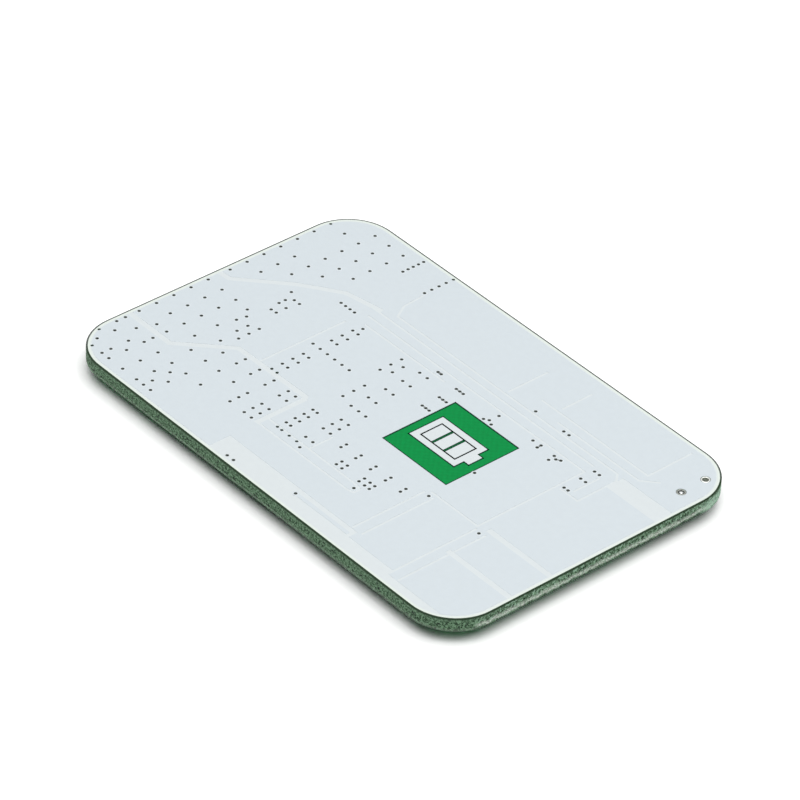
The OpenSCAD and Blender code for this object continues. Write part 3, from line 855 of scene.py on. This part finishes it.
FINISHES: dict[Slot | Skin, Finish] = {
    Slot.INK: WhiteInk("white_ink_finish"),
    Slot.MASK: PrintedMask("printed_side_mask"),
    Slot.MASK_BELOW: ComponentMask("component_side_mask"),
    Slot.LAMINATE: CutLaminate("cut_laminate"),
    Slot.TIN: Metal("hot_levelled_tin", tone(226, 227, 224), tone(196, 198, 196)),
    Slot.SOLDER: Metal(
        "reflowed_solder", tone(214, 216, 216), tone(172, 175, 176), roughness=(0.22, 0.45), wave=FINE_WAVE
    ),
    Slot.LEAD: Metal(
        "plated_leads", tone(206, 208, 207), tone(176, 178, 178), roughness=(0.3, 0.48), depth=0.004 * MM
    ),
    Skin.BARREL: Moulding(
        "dull_barrel", tone(178, 184, 172), tone(200, 204, 194), roughness=(0.5, 0.6), depth=0.003 * MM
    ),
    Skin.FLUXED: Metal(
        "fluxed_solder", tone(164, 166, 160), tone(112, 114, 108), roughness=(0.35, 0.55), wave=FINE_WAVE
    ),
    Slot.MOULD: Moulding("moulding_compound", tone(30, 32, 34), tone(62, 64, 66)),
    Slot.RESISTOR: Moulding(
        "resistor_glaze", tone(20, 21, 24), tone(40, 42, 46), roughness=(0.22, 0.35), depth=0.003 * MM
    ),
    Slot.CERAMIC: Moulding(
        "fired_ceramic", tone(150, 112, 78), tone(186, 150, 112), roughness=(0.4, 0.55), depth=0.004 * MM
    ),
}


# ---------------------------------------------------------------- meshes

UPRIGHT = 0.1
JOIN = 1e-6
SHARP = math.radians(40)
COATS = ("laminate", "top_mask", "white_ink", "bottom_mask")
POWER_PADS = ("battery_minus_pad", "pack_minus_pad")
PADS = (*POWER_PADS, "tap_pads")
TRANSISTORS = range(1, 11)


@dataclass(frozen=True)
class Patch:
    """A box in the row frame, in metres."""

    low: Vector
    high: Vector

    @classmethod
    def around(cls, points: Sequence[Vector]) -> Patch:
        """The smallest box round some points."""
        low = Vector(min(p[k] for p in points) for k in range(3))
        return cls(low, Vector(max(p[k] for p in points) for k in range(3)))

    @property
    def centre(self) -> Vector:
        """The middle of the box."""
        return (self.low + self.high) / 2

    @property
    def extent(self) -> Vector:
        """The box's sides."""
        return self.high - self.low

    def grown(self, by: float) -> Patch:
        """The box drawn larger in x and y."""
        out = Vector((by, by, 0))
        return Patch(self.low - out, self.high + out)

    def meets(self, other: Patch) -> bool:
        """Whether the two boxes overlap when seen along z."""
        return all(self.low[k] < other.high[k] and other.low[k] < self.high[k] for k in (0, 1))

    def overlap(self, other: Patch) -> Patch:
        """The part that both boxes cover."""
        return Patch(Vector(map(max, self.low, other.low)), Vector(map(min, self.high, other.high)))

    def toward(self, other: Patch, share: float) -> Patch:
        """The box on its way to another one."""
        return Patch(self.low.lerp(other.low, share), self.high.lerp(other.high, share))


def merged_copy(node: str) -> Mesh:
    """Copies a CAD node's mesh and joins its loose triangles.

    Args:
        node: The node's name.

    Returns:
        A bmesh that the caller frees.
    """
    bm = bmesh.new()
    bm.from_mesh(frame["nodes"][node].data)
    bmesh.ops.remove_doubles(bm, verts=bm.verts, dist=JOIN)
    return bm


def connected(faces: Iterable[Face]) -> list[Patch]:
    """Finds the boxes of connected groups of faces.

    Args:
        faces: The faces to group. Faces outside this list join nothing.

    Returns:
        One box for each group.
    """
    waiting = set(faces)
    found = []
    while waiting:
        stack = [waiting.pop()]
        corners: list[Vector] = []
        while stack:
            for vert in stack.pop().verts:
                corners.append(vert.co)
                near = waiting.intersection(vert.link_faces)
                waiting -= near
                stack += near
        found.append(Patch.around(corners))
    return sorted(found, key=lambda p: (round(p.low.x, 5), round(p.low.y, 5)))


def solids_of(node: str) -> list[Patch]:
    """The boxes of a node's separate solids.

    Args:
        node: The node's name.

    Returns:
        One box for each solid.
    """
    bm = merged_copy(node)
    found = connected(bm.faces)
    bm.free()
    return found


def walls_of(bm: Mesh) -> list[Face]:
    """The upright faces of a mesh."""
    bm.normal_update()
    return [f for f in bm.faces if abs(f.normal.z) < UPRIGHT]


def holes_of(node: str, widest: float) -> list[Patch]:
    """Finds the upright holes of a flat node by their walls.

    Args:
        node: The node's name.
        widest: The largest diameter that counts.

    Returns:
        One box for each hole, from its lower to its upper end.
    """
    bm = merged_copy(node)
    found = [p for p in connected(walls_of(bm)) if max(p.extent.x, p.extent.y) < widest]
    bm.free()
    return found


def faces_at(verts: Iterable[Vert]) -> list[Face]:
    """The faces that touch some corners."""
    return list({f for v in verts for f in v.link_faces})


def meshed(name: str, bm: Mesh) -> bpy.types.Mesh:
    """Turns a bmesh into a mesh.

    Args:
        name: The mesh's name.
        bm: The bmesh, which is freed.

    Returns:
        The mesh.
    """
    mesh = bpy.data.meshes.new(name)
    bm.to_mesh(mesh)
    bm.free()
    return mesh


def placed(data: bpy.types.ID) -> bpy.types.Object:
    """Adds an object to the scene, named after its data.

    Args:
        data: Its mesh, lamp or camera.

    Returns:
        The object.
    """
    obj = bpy.data.objects.new(data.name, data)
    bpy.context.scene.collection.objects.link(obj)
    return obj


@dataclass
class Part:
    """A sub-assembly of the board, with the levels, the finished materials and the mesh it adds to."""

    size: BoardSize
    materials: dict[Slot | Skin, bpy.types.Material]
    bm: Mesh = field(default_factory=bmesh.new)

    def dress(self, *nodes: str) -> None:
        """Gives CAD nodes the finish of their record slot.

        Args:
            *nodes: The nodes' names.
        """
        slots = {s["node"]: Slot(s["material_slot"]) for s in frame["record"]["subparts"]}
        for node in nodes:
            obj = frame["nodes"][node]
            obj.data.materials.clear()
            obj.data.materials.append(self.materials[slots[node]])
            LOG.info("%s: %s", node, slots[node].value)

    def piece(self, name: str, slot: Slot | Skin, smooth: bool = True) -> None:
        """Turns the mesh into a piece that rides on the board, and starts the next mesh.

        Args:
            name: The piece's name.
            slot: Its finish, whose value is the record slot.
            smooth: Whether its faces are shaded smooth, apart from sharp edges.
        """
        bmesh.ops.recalc_face_normals(self.bm, faces=self.bm.faces)
        mesh = meshed(name, self.bm)
        self.bm = bmesh.new()
        if smooth:
            mesh.shade_smooth()
            mesh.set_sharp_from_angle(angle=SHARP)
        mesh.materials.append(self.materials[slot])
        obj = placed(mesh)
        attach(obj, BODY)
        LOG.info("%s: %d faces", name, len(mesh.polygons))

    def lathe(self, axis: Vector, profile: Sequence[Span], steps: int) -> None:
        """Turns a closed profile round an upright axis.

        Args:
            axis: A point of the axis, of which x and y count.
            profile: Radius and height of each corner, as a closed loop.
            steps: Number of steps round.
        """
        verts = [self.bm.verts.new((axis.x + r, axis.y, z)) for r, z in profile]
        edges = [self.bm.edges.new((a, b)) for a, b in zip(verts, verts[1:] + verts[:1])]
        turn = {"cent": (axis.x, axis.y, 0), "axis": (0, 0, 1), "dvec": (0, 0, 0), "angle": math.tau}
        bmesh.ops.spin(self.bm, geom=verts + edges, steps=steps, use_merge=True, **turn)

    def block(self, low: Vector, high: Vector) -> None:
        """Adds a box."""
        place = Matrix.Translation((low + high) / 2) @ Matrix.Diagonal((*(high - low), 1))
        bmesh.ops.create_cube(self.bm, size=1, matrix=place)

    def extruded(self, faces: Sequence[Face]) -> tuple[list[Face], list[Vert]]:
        """Extrudes a patch of faces in place.

        Args:
            faces: The faces.

        Returns:
            The new faces and their corners.
        """
        grown = bmesh.ops.extrude_face_region(self.bm, geom=faces)["geom"]
        new_faces = [g for g in grown if isinstance(g, Face)]
        return new_faces, [g for g in grown if isinstance(g, Vert)]


@dataclass
class Board(Part):
    """Laminate and coats."""

    def build(self) -> None:
        """Dresses the laminate, both masks and the ink."""
        self.dress(*COATS)


@dataclass
class ViaField(Part):
    """Plated vias: a dull barrel with a bare rim in each hole, and the lips that its ring lifts."""

    widest: float = 0.8 * MM
    wall: float = 0.025 * MM
    clear: float = 0.012 * MM
    rim: float = 0.03 * MM
    rim_height: float = 0.004 * MM
    sunk: float = 0.01 * MM
    lip: float = 0.22 * MM
    lip_height: float = 0.008 * MM
    bevel: float = 0.04 * MM
    steps: int = 14

    def build(self) -> None:
        """Finds the holes of the white ink and fills the field."""
        holes = holes_of("white_ink", self.widest)
        self.barrels(holes)
        self.lips(holes, Side.PRINTED)
        self.lips(holes_of("bottom_mask", self.widest), Side.COMPONENT)
        LOG.info("vias: %d", len(holes))

    def barrels(self, holes: Sequence[Patch]) -> None:
        """Lines every hole from coat to coat, with a rim that the ink leaves bare.

        Args:
            holes: The holes in the ink.
        """
        bottom = self.size.mask_below
        for hole in holes:
            outer = hole.extent.x / 2 - self.clear
            inner = outer - self.wall
            edge = hole.extent.x / 2 + self.rim
            under = hole.high.z - self.sunk
            top = hole.high.z + self.rim_height
            tube = [(inner, bottom), (outer, bottom)]
            collar = [(outer, under), (edge, under), (edge, top), (inner, top)]
            self.lathe(hole.centre, tube + collar, self.steps)
        self.piece("via_barrels", Slot.LAMINATE)

    def lips(self, holes: Sequence[Patch], side: Side) -> None:
        """Rings every hole with a low bevelled lip.

        Args:
            holes: The holes of that side's coat.
            side: The side they are on.
        """
        up = side.value
        for hole in holes:
            level = hole.high.z if side is Side.PRINTED else hole.low.z
            inner = hole.extent.x / 2 + self.rim - self.sunk
            outer = inner + self.lip
            base = level - up * self.sunk
            top = level + up * self.lip_height
            ring = [(inner, base), (outer, base), (outer - self.bevel, top), (inner + self.bevel / 2, top)]
            self.lathe(hole.centre, ring, self.steps)
        slot = Slot.INK if side is Side.PRINTED else Slot.MASK_BELOW
        self.piece(f"via_lips_{side.name.lower()}", slot)


@dataclass
class SignEdgeShade(Part):
    """A thin dark line of painted shade on the mask, against the edges of the ink round the battery sign.
    """

    width: float = 0.24 * MM
    height: float = 0.005 * MM
    widest: float = 20 * MM
    slack: float = 0.01 * MM
    foot: float = 0.001 * MM

    def build(self) -> None:
        """Follows every wall of the ink in and round the green square."""
        bm = merged_copy("white_ink")
        walls = walls_of(bm)
        openings = [p for p in connected(walls) if p.extent.x < self.widest]
        window = max(openings, key=lambda p: min(p.extent.x, p.extent.y)).grown(self.slack)
        level = self.size.face + self.size.mask
        for wall in walls:
            low = [v.co for v in wall.verts if v.co.z < level + self.foot]
            inside = all(window.low[k] < c[k] < window.high[k] for c in low for k in (0, 1))
            if len(low) == 2 and inside and wall.calc_area() > 0:
                self.line(low[0], low[1], wall.normal, level)
        bm.free()
        # the lines take the printed mask's painted shade colour by their height
        self.piece("sign_edge_shade_lines", Slot.MASK, smooth=False)

    def line(self, start: Vector, end: Vector, out: Vector, level: float) -> None:
        """Lays one line beside a wall.

        Args:
            start: Lower end of the wall.
            end: Its other lower end.
            out: Direction away from the ink.
            level: Height of the mask's face.
        """
        along = (end - start).normalized() * self.width
        side = Vector((out.x, out.y, 0)).normalized() * self.width
        box = Patch.around([start - along, end + along, end + along + side, start - along + side])
        box.low.z = level - self.height
        box.high.z = level + self.height
        self.block(box.low, box.high)


@dataclass
class WireHoles(Part):
    """The two tinned wire holes: a lining in the open one, and a rounded bead on every ring."""

    wall: float = 0.03 * MM
    clear: float = 0.002 * MM
    sunk: float = 0.01 * MM
    crown: float = 0.022 * MM
    shoulder: float = 0.015 * MM
    steps: int = 32

    def build(self) -> None:
        """Dresses the rings and the solder, and adds lining and beads."""
        self.dress("wire_rings", "solder_fill")
        filled = Patch(*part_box("solder_fill"))
        bore = filled.extent.x / 2
        rings: dict[str, list[Patch]] = {"open": [], "wetted": []}
        for ring in solids_of("wire_rings"):
            rings["wetted" if ring.meets(filled) else "open"].append(ring)
        for name, slot in (("open", Slot.TIN), ("wetted", Skin.FLUXED)):
            for ring in rings[name]:
                self.bead(ring, bore)
            self.piece(f"wire_ring_beads_{name}", slot)
        low = min(r.low.z for r in rings["open"])
        high = max(r.high.z for r in rings["open"])
        inner = bore - self.wall
        outer = bore - self.clear
        lining = [(inner, low), (outer, low), (outer, high), (inner, high)]
        self.lathe(rings["open"][0].centre, lining, self.steps)
        self.piece("wire_hole_lining", Skin.BARREL)

    def bead(self, ring: Patch, inner: float) -> None:
        """Rounds the face of one ring with a thin bead.

        Args:
            ring: The ring's box.
            inner: The ring's inner radius.
        """
        printed = ring.centre.z > self.size.face
        face = ring.high.z if printed else ring.low.z
        up = 1 if printed else -1
        outer = ring.extent.x / 2
        base = face - up * self.sunk
        shoulder = face + up * self.shoulder
        eighth = (outer - inner) / 8
        profile = [
            (inner, base),
            (outer, base),
            (outer - eighth, shoulder),
            (outer - 4 * eighth, face + up * self.crown),
            (inner + eighth, shoulder),
        ]
        self.lathe(ring.centre, profile, self.steps)


@dataclass
class TinnedPads(Part):
    """Power pads and tap pads: a low crown of levelled tin on each."""

    crown: float = 0.03 * MM
    root: float = 0.03 * MM
    edge: float = 0.006 * MM
    cell: float = 0.5 * MM
    cells: tuple[int, int] = (8, 24)
    flatness: int = 6

    def build(self) -> None:
        """Dresses the pads and swells a crown over each one."""
        self.dress(*PADS)
        for node in PADS:
            for pad in solids_of(node):
                self.swell(pad)
        self.piece("pad_crowns", Slot.TIN)

    def swell(self, pad: Patch) -> None:
        """Adds one crown, which comes out of the pad's face.

        Args:
            pad: The pad's box.
        """
        fewest, most = self.cells
        half = pad.extent / 2
        nx, ny = (max(fewest, min(most, round(s / self.cell))) for s in pad.extent.xy)
        place = Matrix.Translation(pad.centre) @ Matrix.Diagonal((half.x, half.y, 1, 1))
        sheet = bmesh.ops.create_grid(self.bm, x_segments=nx, y_segments=ny, size=1, matrix=place)["verts"]
        for vert in sheet:
            from_middle = vert.co - pad.centre
            rise = 1 - abs(from_middle.x / half.x) ** self.flatness
            rise *= 1 - abs(from_middle.y / half.y) ** self.flatness
            vert.co.z = pad.low.z + self.edge - (self.crown + self.edge) * rise
        for vert in self.extruded(faces_at(sheet))[1]:
            vert.co.z = pad.low.z + self.root


@dataclass
class SolderJoints(Part):
    """Fillets of reflowed solder between every land and the metal that stands on it."""

    margin: float = 0.04 * MM
    neck: float = 0.012 * MM
    root: float = 0.02 * MM
    touch: float = 0.05 * MM
    slope: tuple[Span, ...] = ((0.0, 0.12), (0.55, 0.36), (1.0, 1.0))
    climbs: tuple[tuple[str, float], ...] = (
        ("shunt_terminals", 0.42),
        ("balance_resistor_ends", 0.3),
        ("chip_resistor_ends", 0.25),
        ("chip_capacitor_ends", 0.5),
        ("balance_transistor_leads", 0.1),
        ("clamp_diode_leads", 0.16),
        ("monitor_leads", 0.12),
        ("driver_leads", 0.16),
        *((f"mosfet_frame_{i}", 0.36) for i in TRANSISTORS),
    )

    def build(self) -> None:
        """Dresses the lands and pairs each with the metal on it."""
        self.dress("solder_lands")
        lands = solids_of("solder_lands")
        for node, climb in self.climbs:
            for metal in solids_of(node):
                for land in lands:
                    if metal.meets(land) and abs(metal.high.z - land.low.z) < self.touch:
                        self.fillet(land, metal, climb * MM)
        self.piece("solder_fillets", Slot.SOLDER)

    def fillet(self, land: Patch, metal: Patch, climb: float) -> None:
        """Rises from the land's margin to the metal in a hollow slope.

        Args:
            land: The land's box.
            metal: The metal's box.
            climb: How far the solder climbs.
        """
        foot = land.grown(-self.margin)
        neck = land.overlap(metal).grown(self.neck)
        verts = bmesh.ops.create_grid(self.bm, x_segments=1, y_segments=1, size=0.5)["verts"]
        self.fit(verts, foot, land.low.z + self.root)
        faces = faces_at(verts)
        for share, rise in self.slope:
            faces, ring = self.extruded(faces)
            self.fit(ring, foot.toward(neck, share), land.low.z - climb * rise)

    @staticmethod
    def fit(verts: Sequence[Vert], patch: Patch, z: float) -> None:
        """Moves four corners onto a box's outline at a height.

        Args:
            verts: The corners.
            patch: The box.
            z: The height.
        """
        middle = sum((v.co for v in verts), Vector()) / len(verts)
        for v in verts:
            x = patch.high.x if v.co.x > middle.x else patch.low.x
            y = patch.high.y if v.co.y > middle.y else patch.low.y
            v.co = Vector((x, y, z))


@dataclass
class ComponentLegend(Part):
    """White lines, dots and signs printed beside the parts of the component side."""

    line: float = 0.16 * MM
    gap: float = 0.3 * MM
    circuit_gap: float = 0.2 * MM
    thick: float = 0.012 * MM
    sunk: float = 0.01 * MM
    dot_radius: float = 0.3 * MM
    dot_steps: int = 20
    dot_aside: float = 0.9 * MM
    dot_above: float = 0.4 * MM
    minus_gap: float = 0.5 * MM
    minus_width: float = 0.35 * MM
    minus_half: float = 0.9 * MM

    def build(self) -> None:
        """Prints the lines of every kind of part."""
        for node in ("monitor_body", "driver_body"):
            body = Patch(*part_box(node))
            self.sides(body.grown(self.circuit_gap), along_x=False)
            self.dot(body)
        for solid in solids_of("clamp_diodes"):
            self.sides(solid.grown(self.gap), along_x=False)
        for solid in solids_of("shunt_resistors"):
            self.sides(solid.grown(self.gap), along_x=True)
        for i in TRANSISTORS:
            self.sides(Patch(*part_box(f"mosfet_body_{i}")).grown(self.gap), along_x=True)
        for node in POWER_PADS:
            self.minus(Patch(*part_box(node)))
        self.piece("component_legend", Slot.INK, smooth=False)

    def levels(self) -> Span:
        """The outer and the inner height of the print."""
        face = self.size.mask_below
        return face - self.size.relief - self.thick, face + self.sunk

    def bar(self, x0: float, y0: float, x1: float, y1: float) -> None:
        """Prints one filled bar."""
        low, high = self.levels()
        self.block(Vector((x0, y0, low)), Vector((x1, y1, high)))

    def sides(self, box: Patch, along_x: bool) -> None:
        """Prints a line along two opposite sides of a box.

        Args:
            box: The box.
            along_x: Whether the lines run along x.
        """
        low, high, w = box.low, box.high, self.line
        if along_x:
            self.bar(low.x, low.y - w, high.x, low.y)
            self.bar(low.x, high.y, high.x, high.y + w)
        else:
            self.bar(low.x - w, low.y, low.x, high.y)
            self.bar(high.x, low.y, high.x + w, high.y)

    def dot(self, body: Patch) -> None:
        """Prints the dot beside lead 1.

        Args:
            body: The package's box.
        """
        low, high = self.levels()
        middle = Vector((body.low.x - self.dot_aside, body.high.y + self.dot_above, (low + high) / 2))
        bmesh.ops.create_cone(
            self.bm,
            cap_ends=True,
            segments=self.dot_steps,
            radius1=self.dot_radius,
            radius2=self.dot_radius,
            depth=high - low,
            matrix=Matrix.Translation(middle),
        )

    def minus(self, pad: Patch) -> None:
        """Prints a minus sign beside a power pad.

        Args:
            pad: The pad's box.
        """
        x = pad.high.x + self.minus_gap
        y = pad.centre.y
        self.bar(x, y - self.minus_half, x + self.minus_width, y + self.minus_half)


@dataclass
class Packages(Part):
    """Moulded and ceramic parts with their metal."""

    def build(self) -> None:
        """Dresses every package node."""
        taken = (*COATS, *PADS, "wire_rings", "solder_fill", "solder_lands")
        self.dress(*sorted(n for n in frame["nodes"] if n not in taken))


# ---------------------------------------------------------------- studio


@dataclass(frozen=True)
class Lamp:
    """A soft square lamp that looks at the board, with the number of bounces its light makes."""

    name: str
    place: tuple[float, float, float]
    side: float
    power: float
    bounces: int = 1024

    def build(self) -> None:
        """Adds the lamp."""
        data = bpy.data.lights.new(self.name, "AREA")
        data.shape = "SQUARE"
        data.size = self.side
        data.energy = self.power
        data.cycles.max_bounces = self.bounces
        obj = placed(data)
        obj.location = self.place
        obj.rotation_euler = (-Vector(self.place)).to_track_quat("-Z", "Y").to_euler()


@dataclass(frozen=True)
class Camera:
    """A long lens that looks down on the printed face over its front corner."""

    lens: float = 225.28
    sensor: float = 36.0
    azimuth: float = 47.930
    elevation: float = 36.861
    roll: float = 2.614
    distance: float = 774.113 * MM
    aside: float = 0.0658 * MM
    raised: float = 1.299 * MM
    nearest: float = 0.01
    farthest: float = 20.0

    def build(self, aim: Vector) -> None:
        """Adds the camera.

        Args:
            aim: The point it circles.
        """
        a, e, r = (math.radians(v) for v in (self.azimuth, self.elevation, self.roll))
        back = Vector((math.sin(a) * math.cos(e), -math.cos(a) * math.cos(e), math.sin(e)))
        level = Vector((0, 0, 1)).cross(back).normalized()
        upright = back.cross(level)
        right = level * math.cos(r) + upright * math.sin(r)
        up = upright * math.cos(r) - level * math.sin(r)
        data = bpy.data.cameras.new("camera")
        data.lens = self.lens
        data.sensor_width = self.sensor
        data.clip_start = self.nearest
        data.clip_end = self.farthest
        place = aim + back * self.distance + right * self.aside + up * self.raised
        obj = placed(data)
        obj.matrix_world = Matrix.Translation(place) @ Matrix((right, up, back)).transposed().to_4x4()
        bpy.context.scene.camera = obj


@dataclass
class Studio:
    """White floor, soft lamps, even surroundings and the camera."""

    size: BoardSize
    floor_side: float = 6.0
    floor_colour: Colour = (0.8, 0.8, 0.8, 1.0)
    floor_seen: Colour = (1.35, 1.35, 1.35, 1.0)
    surround_colour: Colour = (1.0, 1.0, 1.0, 1.0)
    surround: Span = (0.05, 1.0)
    lamps: tuple[Lamp, ...] = (
        Lamp("overhead_lamp", (0.17, 0.0, 1.2), 1.8, 23.2),
        Lamp("underside_lamp", (0.0, 0.0, -0.8), 0.3, 5.0, bounces=0),
    )

    def build(self) -> None:
        """Builds the whole studio."""
        bpy.context.scene.view_settings.view_transform = "Standard"
        self.floor()
        self.world()
        for lamp in self.lamps:
            lamp.build()
        Camera().build(Vector((0, 0, self.size.top)))

    def floor(self) -> None:
        """Adds the floor, which shows white, keeps the shadow and lets the lower lamp through."""
        bm = bmesh.new()
        bmesh.ops.create_grid(bm, x_segments=1, y_segments=1, size=self.floor_side / 2)
        mesh = meshed("studio_floor", bm)
        mesh.materials.append(self.floor_material())
        obj = placed(mesh)

    @staticmethod
    def cleared(owner: bpy.types.Material | bpy.types.World) -> Tree:
        """Empties the node tree of a material or a world.

        Args:
            owner: The material or the world.

        Returns:
            The empty tree.
        """
        owner.use_nodes = True
        owner.node_tree.nodes.clear()
        return Tree(owner.node_tree)

    @staticmethod
    def seen(tree: Tree, path: Node) -> Socket:
        """Masks the rays that show the background, straight or in a shiny or clear surface."""
        straight = tree.math("MAXIMUM", path.outputs["Is Camera Ray"], path.outputs["Is Glossy Ray"])
        return tree.math("MAXIMUM", straight, path.outputs["Is Transmission Ray"])

    def floor_material(self) -> bpy.types.Material:
        """Makes the floor's one-sided white.

        Returns:
            The material.
        """
        material = bpy.data.materials.new("studio_floor")
        tree = self.cleared(material)
        path = tree.node("ShaderNodeLightPath")
        below = tree.node("ShaderNodeNewGeometry").outputs["Backfacing"]
        colour = tree.blend(self.seen(tree, path), self.floor_colour, self.floor_seen)
        white = tree.fill(tree.node("ShaderNodeBsdfDiffuse"), colour)
        clear = tree.node("ShaderNodeBsdfTransparent")
        through = tree.math("MAXIMUM", below, path.outputs["Is Shadow Ray"])
        mix = tree.fill(tree.node("ShaderNodeMixShader"), through, white.outputs[0], clear.outputs[0])
        tree.fill(tree.node("ShaderNodeOutputMaterial"), mix.outputs[0])
        return material

    def world(self) -> None:
        """Surrounds the board with an even white, which is full white where it is seen."""
        world = bpy.data.worlds.new("studio")
        bpy.context.scene.world = world
        tree = self.cleared(world)
        seen = self.seen(tree, tree.node("ShaderNodeLightPath"))
        glow = tree.node("ShaderNodeBackground")
        tree.fill(glow, self.surround_colour, tree.between(seen, self.surround))
        tree.fill(tree.node("ShaderNodeOutputWorld"), glow.outputs[0])
        world.cycles.sampling_method = "NONE"


ASSEMBLIES = (Board, ViaField, SignEdgeShade, WireHoles, TinnedPads, SolderJoints, ComponentLegend, Packages)


def main() -> None:
    """Builds every sub-assembly and the studio."""
    logging.basicConfig(level=logging.INFO, format="%(name)s: %(message)s")
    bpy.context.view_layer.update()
    size = BoardSize.measured()
    effects = Effects()
    materials = {slot: finish.make(effects, size) for slot, finish in FINISHES.items()}
    for assembly in ASSEMBLIES:
        assembly(size, materials).build()
    Studio(size).build()


if __name__ == "__main__":
    main()
